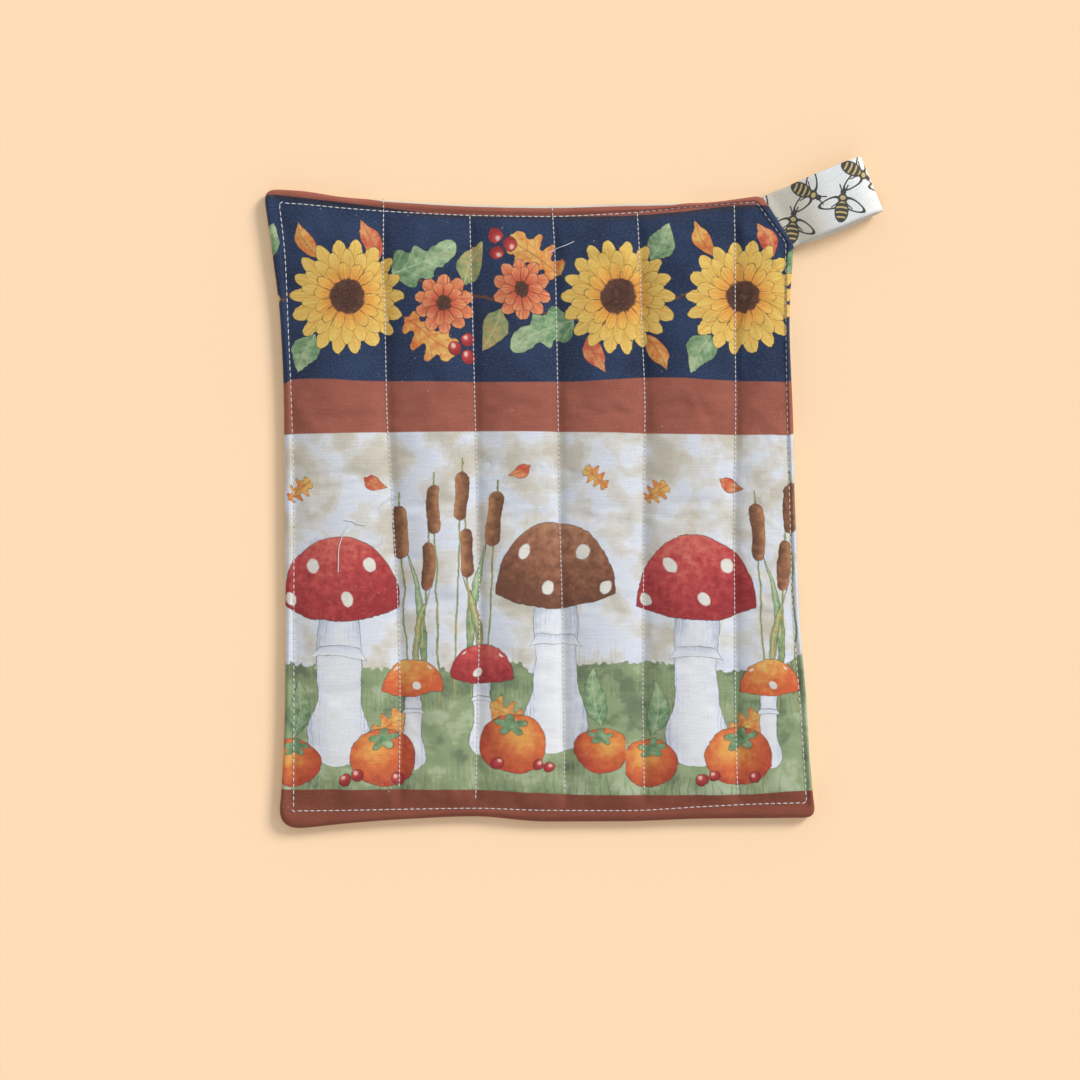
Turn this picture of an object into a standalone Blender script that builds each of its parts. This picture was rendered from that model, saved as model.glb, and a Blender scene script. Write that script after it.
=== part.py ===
# Quilted pot holder, about 8 by 9 1/2 inches, lying on its back.
#
# Two quilted panels are sewn together face to face, turned out and stitched round the rim, with a
# folded ribbon caught in the seam across one clipped corner. Origin: the middle of the pad, on the
# surface it lies on. X runs across the channels, Y up the pad, Z out of the printed front.

import math

import bpy
from mathutils import Vector

MM = 0.001

# Thicknesses and heights above the surface.
GAP = 0.3 * MM                # air between the ribbon and the panels
SEAM_GAP = 0.44 * MM          # the same between the panels, straight up: their seam slopes
SEAM_HEIGHT = 2.25 * MM       # the plane where front and back meet
FRONT_AT_STITCH = 3.6 * MM    # top of the front where the thread holds it down
FRONT_CROWN = 3.3 * MM        # how far a channel's crown stands above its stitching
CROWN_WIDTH = 34.0 * MM       # width of the channel that reaches that crown
BACK_AT_STITCH = 0.9 * MM     # underside of the back where the thread draws it up
GROOVE_REACH = 5.2 * MM       # from a quilting line to where the back lies flat
END_REACH = 15.0 * MM         # from the rim stitching to where a channel is full
ARCH_POWER = 2.6              # how flat a channel's crown is: 2 is round, more is flatter
SWELL = 0.07                  # how unevenly the filling lies along a channel
SWELL_LENGTH = 17.0 * MM
RIM_TOP = 4.7 * MM            # top of the soft roll between rim stitching and edge
RIM_RADIUS = 2.5 * MM         # how far in from the edge the roll turns over
RIM_MARGIN_SHARE = 0.8        # the roll's share of a margin that is narrower than that
SHOULDER_PLACE = 0.45         # between the roll's top and the stitching
SHOULDER_DROP = 0.25
PEEK = 0.9 * MM               # how much of the backing shows past the front
PEEK_RAMP = 9.0 * MM          # length over which it comes and goes
PEEK_EASE = 0.6               # how much wider the steep seam is opened there, to keep its gap
PEEK_TURN_LIMIT = math.radians(60.0)  # the furthest the seam turns up onto the front
TUCKED_UNDER = math.radians(-12.0)    # where the seam sits on the roll elsewhere

# Upright lines at stations up the pad, in millimetres from the middle.
UPRIGHT_COLUMNS = (
    "height", "left_edge", "left_stitch", "line_1", "line_2", "line_3", "line_4", "line_5",
    "right_stitch", "right_edge",
)
UPRIGHTS = (
    (-120.0, -100.6, -94.8, -54.9, -24.9, 9.8, 40.4, 77.4, 102.8, 106.5),
    (-103.0, -99.3, -94.7, -54.1, -24.6, 9.5, 40.0, 75.8, 101.9, 104.5),
    (-72.0, -98.1, -94.6, -53.8, -23.9, 9.0, 39.5, 75.1, 99.8, 102.8),
    (-37.0, -97.9, -94.6, -54.6, -23.3, 8.5, 39.7, 74.8, 97.0, 99.9),
    (1.0, -98.3, -94.6, -56.6, -24.1, 7.5, 39.8, 74.5, 96.0, 98.6),
    (40.0, -98.5, -95.5, -58.9, -25.0, 6.9, 40.3, 75.2, 95.0, 97.2),
    (74.0, -99.9, -96.9, -59.6, -25.9, 6.3, 39.0, 75.0, 94.5, 96.0),
    (97.0, -102.6, -97.9, -60.3, -26.6, 5.8, 38.3, 75.0, 94.4, 97.2),
    (120.0, -105.9, -100.3, -60.1, -27.1, 4.5, 37.1, 74.6, 94.9, 99.5),
)
CHANNEL_LINES = (
    "left_stitch", "line_1", "line_2", "line_3", "line_4", "line_5", "right_stitch",
)

# Level lines at stations across the pad, in millimetres from the middle.
LEVEL_COLUMNS = ("across", "bottom_edge", "bottom_stitch", "top_stitch", "top_edge")
LEVELS = (
    (-106.0, -121.7, -114.5, 119.5, 124.7),
    (-92.0, -121.2, -114.5, 118.7, 123.9),
    (-75.0, -119.5, -114.3, 117.1, 121.4),
    (-54.0, -117.9, -113.9, 115.6, 120.0),
    (-25.0, -116.7, -113.5, 114.3, 118.5),
    (2.0, -118.7, -114.3, 113.9, 118.1),
    (33.0, -118.6, -114.4, 115.2, 118.9),
    (62.0, -117.6, -112.9, 118.0, 119.3),
    (85.0, -117.4, -111.8, 119.4, 122.0),
    (106.0, -117.2, -111.3, 119.4, 124.0),
)

# The clipped corner: both ends of its edge and of its stitching, in millimetres.
CLIP_EDGE = ((86.0, 121.7), (98.4, 102.0))
CLIP_STITCH = ((83.2, 119.4), (94.7, 103.6))

# How far each corner of the edge is rounded.
CORNER_ROUNDING = {
    "bottom_left": 8.5 * MM,
    "bottom_right": 4.4 * MM,
    "clip_low": 1.6 * MM,
    "clip_high": 2.0 * MM,
    "top_left": 4.4 * MM,
}

# Grid of each panel. A channel is finest at its stitching; the last one has a column on the clip.
CHANNEL_STEPS = (0.0, 0.07, 0.17, 0.33, 0.5, 0.67, 0.83, 0.93)
LAST_CHANNEL_STEPS = (0.0, 0.10, 0.24, 0.42, 0.55, 0.70, 0.83, 0.93)
CLIP_STEP = 0.42
ROWS = 26
ROW_CROWDING = 0.6            # 0 spaces the rows evenly, 1 crowds them at both ends
FRONT_ROLL_STEPS = 4          # steps of the front's turned edge
BACK_ROLL_STEPS = 3

# The ribbon loop: reach out of the seam, height of its middle and sideways lean, in millimetres.
RIBBON_WIDTH = 22.5 * MM
RIBBON_THICKNESS = 1.0 * MM
RIBBON_HEADING = math.radians(22.6)
RIBBON_TUCK = 0.9 * MM        # how deep its ends sit in the seam
SLOT_EASE = 0.2 * MM          # spare height in the seam above and below it
SLOT_END = 1.5 * MM           # the seam is open this far past the clip's corners
RIBBON_SQUARES_UP = 14.0 * MM  # reach at which it is square to its own heading
RIBBON_STEPS = 3              # steps between two rows of the table
RIBBON_CELLS = 2              # cells across its width
RIBBON_COLUMNS = ("reach", "height", "lean")
RIBBON_PATH = (
    (0.0, 2.90, 0.2),
    (3.0, 3.10, 0.3),
    (8.0, 4.80, 0.2),
    (15.0, 7.00, 0.4),
    (23.0, 8.40, 0.4),
    (31.0, 8.50, 0.4),
    (36.6, 7.00, 0.2),
    (39.0, 4.40, 0.0),
    (36.8, 1.80, -0.3),
    (32.0, 0.50, -0.5),
    (23.0, 0.50, -0.8),
    (13.0, 0.50, -0.6),
    (8.0, 0.60, -0.2),
    (3.0, 1.35, 0.2),
    (0.0, 1.60, 0.2),
)


def clear_scene():
    for old in list(bpy.data.objects):
        bpy.data.objects.remove(old, do_unlink=True)


def cloth_material(name, colour, roughness):
    material = bpy.data.materials.new(name)
    material.use_nodes = True
    shader = material.node_tree.nodes["Principled BSDF"]
    shader.inputs["Base Color"].default_value = (*colour, 1.0)
    shader.inputs["Roughness"].default_value = roughness
    shader.inputs["Metallic"].default_value = 0.0
    material.diffuse_color = (*colour, 1.0)
    return material


def blend(first, second, share):
    return first + (second - first) * share


def ease(share):
    share = min(max(share, 0.0), 1.0)
    return share * share * (3.0 - 2.0 * share)


def read_smooth(stations, values, place):
    # A smooth curve through the values that never overshoots them.
    last = len(stations) - 1
    place = min(max(place, stations[0]), stations[last])
    run = [stations[i + 1] - stations[i] for i in range(last)]
    rise = [(values[i + 1] - values[i]) / run[i] for i in range(last)]
    slope = [rise[0]]
    for i in range(1, last):
        level = rise[i - 1] * rise[i] <= 0.0
        slope.append(0.0 if level else 2.0 * rise[i - 1] * rise[i] / (rise[i - 1] + rise[i]))
    slope.append(rise[-1])
    k = 0
    while k < last - 1 and place > stations[k + 1]:
        k += 1
    t = (place - stations[k]) / run[k]
    return (
        (2 * t**3 - 3 * t**2 + 1) * values[k]
        + (t**3 - 2 * t**2 + t) * run[k] * slope[k]
        + (3 * t**2 - 2 * t**3) * values[k + 1]
        + (t**3 - t**2) * run[k] * slope[k + 1]
    )


def read_table(rows, names, column, place):
    stations = [row[0] for row in rows]
    values = [row[names.index(column)] for row in rows]
    return read_smooth(stations, values, place / MM) * MM


def upright(column, height):
    return read_table(UPRIGHTS, UPRIGHT_COLUMNS, column, height)


def level(column, across):
    return read_table(LEVELS, LEVEL_COLUMNS, column, across)


def clipped(line, ends, across):
    # The height of a level line, cut down by the slanting line through both ends.
    (x_high, y_high), (x_low, y_low) = ends
    slant = y_high + (across / MM - x_high) * (y_low - y_high) / (x_low - x_high)
    return min(line, slant * MM)


def stitch_point(channel, share, up):
    # A point inside the rim stitching: share of one channel's width, up the pad from 0 to 1.
    left, right = CHANNEL_LINES[channel], CHANNEL_LINES[channel + 1]
    y = blend(level("bottom_stitch", 0.0), level("top_stitch", 0.0), up)
    x = 0.0
    for _ in range(8):
        x = blend(upright(left, y), upright(right, y), share)
        top = clipped(level("top_stitch", x), CLIP_STITCH, x)
        y = blend(level("bottom_stitch", x), top, up)
    return Vector((x, y, 0.0))


def edge_corners():
    # Where the sides and the clip meet, before rounding.
    corners = {}
    for name, side, line in (
        ("bottom_left", "left_edge", "bottom_edge"),
        ("bottom_right", "right_edge", "bottom_edge"),
        ("top_left", "left_edge", "top_edge"),
    ):
        x, y = 0.0, level(line, 0.0)
        for _ in range(8):
            x = upright(side, y)
            y = level(line, x)
        corners[name] = Vector((x, y, 0.0))
    corners["clip_high"] = Vector((CLIP_EDGE[0][0] * MM, CLIP_EDGE[0][1] * MM, 0.0))
    corners["clip_low"] = Vector((CLIP_EDGE[1][0] * MM, CLIP_EDGE[1][1] * MM, 0.0))
    return corners


def edge_side(side, share, corners):
    # A point on one side of the edge, by its share of the way between that side's corners.
    if side == "left":
        y = blend(corners["bottom_left"].y, corners["top_left"].y, share)
        return Vector((upright("left_edge", y), y, 0.0))
    if side == "right":
        y = blend(corners["bottom_right"].y, corners["clip_low"].y, share)
        return Vector((upright("right_edge", y), y, 0.0))
    if side == "bottom":
        x = blend(corners["bottom_left"].x, corners["bottom_right"].x, share)
        return Vector((x, level("bottom_edge", x), 0.0))
    if side == "top":
        x = blend(corners["top_left"].x, corners["clip_high"].x, share)
        return Vector((x, level("top_edge", x), 0.0))
    return corners["clip_high"].lerp(corners["clip_low"], share)


# Each side with the corner at its start and at its end.
SIDE_ENDS = {
    "bottom": ("bottom_left", "bottom_right"),
    "right": ("bottom_right", "clip_low"),
    "clip": ("clip_high", "clip_low"),
    "top": ("top_left", "clip_high"),
    "left": ("bottom_left", "top_left"),
}


def neighbour_direction(corner, side, corners):
    # The direction in which the other side leaves a corner.
    for other, ends in SIDE_ENDS.items():
        if other != side and corner in ends:
            near = 0.02 if ends[0] == corner else 0.98
            return (edge_side(other, near, corners) - corners[corner]).normalized()
    return Vector((0.0, 0.0, 0.0))


def edge_point(side, share, corners):
    # The same point with the corners rounded by a short curve.
    point = edge_side(side, share, corners)
    start, end = SIDE_ENDS[side]
    corner = start if share < 0.5 else end
    along = point - corners[corner]
    away = along.length
    rounding = CORNER_ROUNDING[corner]
    if away >= rounding:
        return point
    if away < 1e-7:
        inner = 0.02 if corner == start else 0.98
        along = edge_side(side, inner, corners) - corners[corner]
    turn = 0.5 * (1.0 - away / rounding)
    this_way = along.normalized() * rounding * (1.0 - turn) ** 2
    that_way = neighbour_direction(corner, side, corners) * rounding * turn**2
    return corners[corner] + this_way + that_way


def peek(side, point):
    # How much of the backing shows past the front at a place on the edge.
    spans = {"top": (point.x, -69.0 * MM, 60.0 * MM), "right": (point.y, -104.0 * MM, 34.0 * MM)}
    if side not in spans:
        return 0.0
    place, low, high = spans[side]
    return PEEK * ease((place - low) / PEEK_RAMP) * ease((high - place) / PEEK_RAMP)


def grid_columns():
    columns = []
    last = len(CHANNEL_LINES) - 2
    for channel in range(last + 1):
        steps = LAST_CHANNEL_STEPS if channel == last else CHANNEL_STEPS
        columns += [(channel, share) for share in steps]
    columns.append((last, 1.0))
    return columns


def grid_rows():
    rows = []
    for i in range(ROWS + 1):
        even = i / ROWS
        rows.append(even - ROW_CROWDING * math.sin(2.0 * math.pi * even) / (2.0 * math.pi))
    return rows


def puff(channel, share, point, up):
    # How full the filling stands at a point, from 0 on the stitching to 1 or more on a wide crown.
    left = stitch_point(channel, 0.0, up)
    right = stitch_point(channel, 1.0, up)
    width = (right - left).length
    arch = 1.0 - abs(2.0 * share - 1.0) ** ARCH_POWER
    to_bottom = point.y - level("bottom_stitch", point.x)
    to_top = clipped(level("top_stitch", point.x), CLIP_STITCH, point.x) - point.y
    ends = ease(0.5 + 0.5 * min(to_bottom, to_top) / END_REACH) * 2.0 - 1.0
    swell = 1.0 + SWELL * math.sin(point.y / SWELL_LENGTH + 2.1 * channel)
    return arch * ends * min(width / CROWN_WIDTH, 1.1) * swell


def groove(channel, share, point, up):
    # How far the thread draws the back up at a point, from 0 where it lies flat to 1 on a line.
    left = stitch_point(channel, 0.0, up)
    right = stitch_point(channel, 1.0, up)
    to_side = min(share, 1.0 - share) * (right - left).length
    to_bottom = point.y - level("bottom_stitch", point.x)
    to_top = clipped(level("top_stitch", point.x), CLIP_STITCH, point.x) - point.y
    nearest = min(to_side, to_bottom, to_top)
    return max(0.0, 1.0 - nearest / GROOVE_REACH) ** 2


def shares(points, axis):
    # Each point's share of the way from the first to the last, along one axis.
    run = points[-1][axis] - points[0][axis]
    return [(point[axis] - points[0][axis]) / run for point in points]


def rim_loop(columns, plan, corners):
    # Round the rim stitching anticlockwise: grid place, side and edge point of each.
    last_column, last_row = len(plan) - 1, len(plan[0]) - 1
    clip_column = columns.index((len(CHANNEL_LINES) - 2, CLIP_STEP))
    top = [line[last_row] for line in plan]
    bottom_shares = shares([line[0] for line in plan], 0)
    top_shares = shares(top[: clip_column + 1], 0)
    clip_shares = shares(top[clip_column:], 0)
    left_shares = shares(plan[0], 1)
    right_shares = shares(plan[last_column], 1)
    places = [((i, 0), "bottom", bottom_shares[i]) for i in range(last_column)]
    places += [((last_column, j), "right", right_shares[j]) for j in range(last_row)]
    for i in range(last_column, clip_column, -1):
        places.append(((i, last_row), "clip", clip_shares[i - clip_column]))
    places += [((i, last_row), "top", top_shares[i]) for i in range(clip_column, 0, -1)]
    places += [((0, j), "left", left_shares[j]) for j in range(last_row, 0, -1)]
    return [(cell, side, edge_point(side, share, corners)) for cell, side, share in places]


def seam_opening(in_clip):
    # Half the height left open in the seam: the ribbon passes through all of the clip.
    if in_clip:
        return 0.5 * (2.0 * RIBBON_THICKNESS + 3.0 * GAP) + SLOT_EASE
    return 0.5 * SEAM_GAP


def panel_mesh(name, front):
    # One panel as a closed mesh: quilted face, rolled rim, seam side.
    columns, rows = grid_columns(), grid_rows()
    corners = edge_corners()
    vertices, faces = [], []

    def add(x, y, z):
        vertices.append((x, y, z))
        return len(vertices) - 1

    ahead = 1.0 if front else -1.0
    plan, outer = [], []
    for channel, share in columns:
        plan.append([stitch_point(channel, share, up) for up in rows])
    for i, (channel, share) in enumerate(columns):
        line = []
        for j, up in enumerate(rows):
            point = plan[i][j]
            if front:
                z = FRONT_AT_STITCH + FRONT_CROWN * puff(channel, share, point, up)
            else:
                z = BACK_AT_STITCH * groove(channel, share, point, up)
            line.append(add(point.x, point.y, z))
        outer.append(line)
    for i in range(len(columns) - 1):
        for j in range(len(rows) - 1):
            faces.append((outer[i][j], outer[i + 1][j], outer[i + 1][j + 1], outer[i][j + 1]))

    loop = rim_loop(columns, plan, corners)
    steps = FRONT_ROLL_STEPS if front else BACK_ROLL_STEPS
    rings, seam_side, seam_middle = [], [], []
    for (i, j), side, edge in loop:
        stitch = plan[i][j]
        inward = stitch - edge
        width = inward.length
        inward.normalize()
        radius = min(RIM_RADIUS, RIM_MARGIN_SHARE * width)
        rise = (RIM_TOP if front else 0.0) - SEAM_HEIGHT
        at_high_end = (edge - corners["clip_high"]).length < SLOT_END
        half_open = seam_opening(side == "clip" or at_high_end)
        seam_turn = TUCKED_UNDER
        shown = peek(side, edge)
        half_open *= 1.0 + PEEK_EASE * shown / PEEK
        if shown > 0.0:
            turned_up = min(math.acos(1.0 - PEEK / radius), PEEK_TURN_LIMIT)
            seam_turn = blend(TUCKED_UNDER, turned_up, shown / PEEK)
        if half_open > SEAM_GAP:
            seam_turn = 0.0
        end_turn = seam_turn + ahead * math.asin(half_open / abs(rise))
        ring = [outer[i][j]]
        shoulder = edge + inward * blend(radius, width, SHOULDER_PLACE)
        face_z = FRONT_AT_STITCH if front else BACK_AT_STITCH
        crown_z = SEAM_HEIGHT + rise
        ring.append(add(shoulder.x, shoulder.y, blend(crown_z, face_z, SHOULDER_DROP)))
        for step in range(steps + 1):
            turn = blend(ahead * 0.5 * math.pi, end_turn, step / steps)
            place = edge + inward * radius * (1.0 - math.cos(turn))
            ring.append(add(place.x, place.y, SEAM_HEIGHT + abs(rise) * math.sin(turn)))
        rings.append(ring)
        seam_z = SEAM_HEIGHT + abs(rise) * math.sin(seam_turn)
        middle = edge.lerp(stitch, 0.5)
        middle_z = blend(SEAM_HEIGHT, seam_z, 0.5) + ahead * half_open
        seam_middle.append(add(middle.x, middle.y, middle_z))
        seam_side.append(add(stitch.x, stitch.y, SEAM_HEIGHT + ahead * 0.5 * SEAM_GAP))

    count = len(loop)
    for k in range(count):
        after = (k + 1) % count
        here, there = rings[k], rings[after]
        for step in range(len(here) - 1):
            faces.append((here[step], here[step + 1], there[step + 1], there[step]))
        # Split the same way on both panels, so that their seam sides run parallel.
        faces.append((here[-1], seam_middle[k], seam_middle[after]))
        faces.append((here[-1], seam_middle[after], there[-1]))
        faces.append((seam_middle[k], seam_side[k], seam_side[after]))
        faces.append((seam_middle[k], seam_side[after], seam_middle[after]))
    faces.append(tuple(reversed(seam_side)))
    if not front:
        faces = [tuple(reversed(face)) for face in faces]

    mesh = bpy.data.meshes.new(name)
    mesh.from_pydata(vertices, [], faces)
    mesh.validate()
    mesh.shade_smooth()
    return mesh


def ribbon_mesh(name):
    # The loop as an open strip: out over the top, round the fold and back along the surface.
    heading = Vector((math.cos(RIBBON_HEADING), math.sin(RIBBON_HEADING), 0.0))
    across = Vector((-heading.y, heading.x, 0.0))
    corners = edge_corners()
    high, low = corners["clip_high"], corners["clip_low"]
    along_clip = (high - low).normalized()
    middle = high.lerp(low, 0.5)
    outward = Vector((along_clip.y, -along_clip.x, 0.0))
    root = middle - heading * RIBBON_TUCK / heading.dot(outward)
    numbers = list(range(len(RIBBON_PATH)))
    vertices, faces = [], []
    steps = (len(RIBBON_PATH) - 1) * RIBBON_STEPS
    for step in range(steps + 1):
        at = {}
        for column, name_of in enumerate(RIBBON_COLUMNS):
            values = [row[column] for row in RIBBON_PATH]
            at[name_of] = read_smooth(numbers, values, step / RIBBON_STEPS) * MM
        skew = 1.0 - ease(at["reach"] / RIBBON_SQUARES_UP)
        for cell in range(RIBBON_CELLS + 1):
            aside = (cell / RIBBON_CELLS - 0.5) * RIBBON_WIDTH
            slip = aside * along_clip.dot(heading) / along_clip.dot(across) * skew
            place = root + heading * (at["reach"] + slip) + across * (aside + at["lean"])
            vertices.append((place.x, place.y, at["height"]))
    for step in range(steps):
        for cell in range(RIBBON_CELLS):
            a = step * (RIBBON_CELLS + 1) + cell
            b = a + RIBBON_CELLS + 1
            faces.append((a, b, b + 1, a + 1))
    mesh = bpy.data.meshes.new(name)
    mesh.from_pydata(vertices, [], faces)
    mesh.shade_smooth()
    return mesh


def place_in(collection, name, mesh, material):
    piece = bpy.data.objects.new(name, mesh)
    piece.data.materials.append(material)
    collection.objects.link(piece)
    return piece


def main():
    clear_scene()
    collection = bpy.data.collections.new("quilted_pot_holder")
    bpy.context.scene.collection.children.link(collection)

    printed = cloth_material("printed_cotton", (0.42, 0.30, 0.24), 0.85)
    backing = cloth_material("backing_cotton", (0.72, 0.70, 0.66), 0.85)
    ribbon = cloth_material("ribbon_weave", (0.68, 0.68, 0.62), 0.70)

    place_in(collection, "front_panel", panel_mesh("front_panel", True), printed)
    place_in(collection, "back_panel", panel_mesh("back_panel", False), backing)
    loop = place_in(collection, "hanging_loop", ribbon_mesh("hanging_loop"), ribbon)
    body = loop.modifiers.new("ribbon thickness", "SOLIDIFY")
    body.thickness = RIBBON_THICKNESS
    body.offset = 0.0


main()
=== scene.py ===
import math

import bmesh
import bpy
import numpy as np
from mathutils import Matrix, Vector
from mathutils.bvhtree import BVHTree


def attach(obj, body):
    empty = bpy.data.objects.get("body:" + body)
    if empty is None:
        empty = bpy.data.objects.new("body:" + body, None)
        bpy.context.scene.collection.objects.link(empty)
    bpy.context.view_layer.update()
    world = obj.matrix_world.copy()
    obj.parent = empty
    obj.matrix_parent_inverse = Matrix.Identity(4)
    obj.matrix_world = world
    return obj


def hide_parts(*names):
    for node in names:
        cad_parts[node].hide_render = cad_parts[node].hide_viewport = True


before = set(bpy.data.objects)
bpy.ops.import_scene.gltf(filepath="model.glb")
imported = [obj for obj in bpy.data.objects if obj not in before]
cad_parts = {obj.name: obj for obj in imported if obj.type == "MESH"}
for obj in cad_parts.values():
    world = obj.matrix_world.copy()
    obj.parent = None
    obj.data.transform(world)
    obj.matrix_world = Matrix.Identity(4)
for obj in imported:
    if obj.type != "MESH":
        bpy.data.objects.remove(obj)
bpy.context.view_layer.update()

mm = 0.001
print("frame loaded")


# Shape of the pad. The tables are in millimetres from its middle.

uprights = {
    "height": (-120.0, -103.0, -72.0, -37.0, 1.0, 40.0, 74.0, 97.0, 120.0),
    "leftEdge": (-100.6, -99.3, -98.1, -97.9, -98.3, -98.5, -99.9, -102.6, -105.9),
    "leftStitch": (-94.8, -94.7, -94.6, -94.6, -94.6, -95.5, -96.9, -97.9, -100.3),
    "line1": (-54.9, -54.1, -53.8, -54.6, -56.6, -58.9, -59.6, -60.3, -60.1),
    "line2": (-24.9, -24.6, -23.9, -23.3, -24.1, -25.0, -25.9, -26.6, -27.1),
    "line3": (9.8, 9.5, 9.0, 8.5, 7.5, 6.9, 6.3, 5.8, 4.5),
    "line4": (40.4, 40.0, 39.5, 39.7, 39.8, 40.3, 39.0, 38.3, 37.1),
    "line5": (77.4, 75.8, 75.1, 74.8, 74.5, 75.2, 75.0, 75.0, 74.6),
    "rightStitch": (102.8, 101.9, 99.8, 97.0, 96.0, 95.0, 94.5, 94.4, 94.9),
    "rightEdge": (106.5, 104.5, 102.8, 99.9, 98.6, 97.2, 96.0, 97.2, 99.5),
}
channelLines = ("leftStitch", "line1", "line2", "line3", "line4", "line5", "rightStitch")

levels = {
    "across": (-106.0, -92.0, -75.0, -54.0, -25.0, 2.0, 33.0, 62.0, 85.0, 106.0),
    "bottomEdge": (-121.7, -121.2, -119.5, -117.9, -116.7, -118.7, -118.6, -117.6, -117.4, -117.2),
    "bottomStitch": (-114.5, -114.5, -114.3, -113.9, -113.5, -114.3, -114.4, -112.9, -111.8, -111.3),
    "topStitch": (119.5, 118.7, 117.1, 115.6, 114.3, 113.9, 115.2, 118.0, 119.4, 119.4),
    "topEdge": (124.7, 123.9, 121.4, 120.0, 118.5, 118.1, 118.9, 119.3, 122.0, 124.0),
}

clip = {  # the corner that the ribbon comes out of, high end first
    "edge": ((86.0, 121.7), (98.4, 102.0)),
    "stitch": ((83.2, 119.4), (94.7, 103.6)),
    "share": 0.42,  # where it starts, as a share of the last channel
}

pad = {
    "frontAtStitch": 3.6,
    "frontCrown": 3.3,
    "crownWidth": 34.0,
    "widest": 1.1,  # as a share of the crown's width
    "archPower": 2.6,
    "swell": 0.07,
    "swellLength": 17.0,
    "swellShift": 2.1,  # from channel to channel
    "endReach": 15.0,
    "backAtStitch": 0.9,
    "grooveReach": 5.2,
    "seamHeight": 2.25,
    "seamGap": 0.44,
    "slotHalf": 1.05,  # half the height that the seam is open for the ribbon
    "slotReach": 1.5,  # how far past the clipped corner it is still open
    "rimTop": 4.7,
    "rimRadius": 2.5,
    "rimMarginShare": 0.8,
    "peek": 0.9,  # how much of the backing shows past the front
    "peekRamp": 9.0,
    "peekSpans": {"top": (-69.0, 60.0), "right": (-104.0, 34.0)},
    "peekTurnLimit": 60.0,
    "tuckedUnder": -12.0,
    "seamTurnIn": 0.45,  # how far the cloth turns in at the seam
    "seamSpread": 0.1,
    "cells": 16,  # columns of the mesh in a channel
    "rows": 120,
    "rollSteps": 6,
    "lowest": -114.0,  # first guess at the height of a row, mended in every pass
    "tall": 230.0,
    "passes": 10,
}
cornerRounding = {"bottomLeft": 8.5, "bottomRight": 4.4, "clipLow": 1.6, "clipHigh": 2.0, "topLeft": 4.4}
sideEnds = {
    "bottom": ("bottomLeft", "bottomRight"),
    "right": ("bottomRight", "clipLow"),
    "clip": ("clipHigh", "clipLow"),
    "top": ("topLeft", "clipHigh"),
    "left": ("bottomLeft", "topLeft"),
}


def ease(share):
    share = np.clip(share, 0.0, 1.0)
    return share * share * (3.0 - 2.0 * share)


def unit(vector):
    return vector / np.linalg.norm(vector)


def readSmooth(places, values, at):
    # A smooth curve through the values that never overshoots them.
    x, y = np.asarray(places, float), np.asarray(values, float)
    run = np.diff(x)
    rise = np.diff(y) / run
    slope = np.zeros(len(x))
    slope[0], slope[-1] = rise[0], rise[-1]
    product = rise[:-1] * rise[1:]
    total = np.where(product > 0.0, rise[:-1] + rise[1:], 1.0)
    slope[1:-1] = np.where(product > 0.0, 2.0 * product / total, 0.0)
    at = np.clip(at, x[0], x[-1])
    k = np.clip(np.searchsorted(x, at, side="right") - 1, 0, len(x) - 2)
    t = (at - x[k]) / run[k]
    return (
        (2 * t**3 - 3 * t**2 + 1) * y[k]
        + (t**3 - 2 * t**2 + t) * run[k] * slope[k]
        + (3 * t**2 - 2 * t**3) * y[k + 1]
        + (t**3 - t**2) * run[k] * slope[k + 1]
    )


def upright(name, height):
    return readSmooth(uprights["height"], uprights[name], height)


def level(name, across):
    return readSmooth(levels["across"], levels[name], across)


def topStitch(across):
    # The top line of stitching, cut down by the clipped corner.
    (xHigh, yHigh), (xLow, yLow) = clip["stitch"]
    slant = yHigh + (across - xHigh) * (yLow - yHigh) / (xLow - xHigh)
    return np.minimum(level("topStitch", across), slant)


def channelOf(span):
    # Which channel a place lies in, counted from the left.
    return np.clip(span.astype(int), 0, len(channelLines) - 2)


def planPoint(span, up):
    # Places inside the rim stitching: span counts channels from the left, up runs from 0 to 1.
    span, up = np.broadcast_arrays(np.asarray(span, float), np.asarray(up, float))
    k = channelOf(span)
    y = pad["lowest"] + pad["tall"] * up
    for _ in range(pad["passes"]):
        crossings = np.stack([upright(name, y) for name in channelLines])
        left = np.take_along_axis(crossings, k[None], 0)[0]
        right = np.take_along_axis(crossings, k[None] + 1, 0)[0]
        x = left + (right - left) * (span - k)
        low = level("bottomStitch", x)
        y = low + (topStitch(x) - low) * up
    return x, y, right - left


def endDistance(x, y):
    return np.minimum(y - level("bottomStitch", x), topStitch(x) - y)


def frontHeight(span, up):
    x, y, width = planPoint(span, up)
    channel = channelOf(span)
    arch = 1.0 - np.abs(2.0 * (span - channel) - 1.0) ** pad["archPower"]
    ends = ease(0.5 + 0.5 * endDistance(x, y) / pad["endReach"]) * 2.0 - 1.0
    swell = 1.0 + pad["swell"] * np.sin(y / pad["swellLength"] + pad["swellShift"] * channel)
    full = arch * ends * np.minimum(width / pad["crownWidth"], pad["widest"]) * swell
    return pad["frontAtStitch"] + pad["frontCrown"] * full


def backHeight(span, up):
    x, y, width = planPoint(span, up)
    share = span - channelOf(span)
    nearest = np.minimum(np.minimum(share, 1.0 - share) * width, endDistance(x, y))
    return pad["backAtStitch"] * np.maximum(0.0, 1.0 - nearest / pad["grooveReach"]) ** 2


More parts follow.
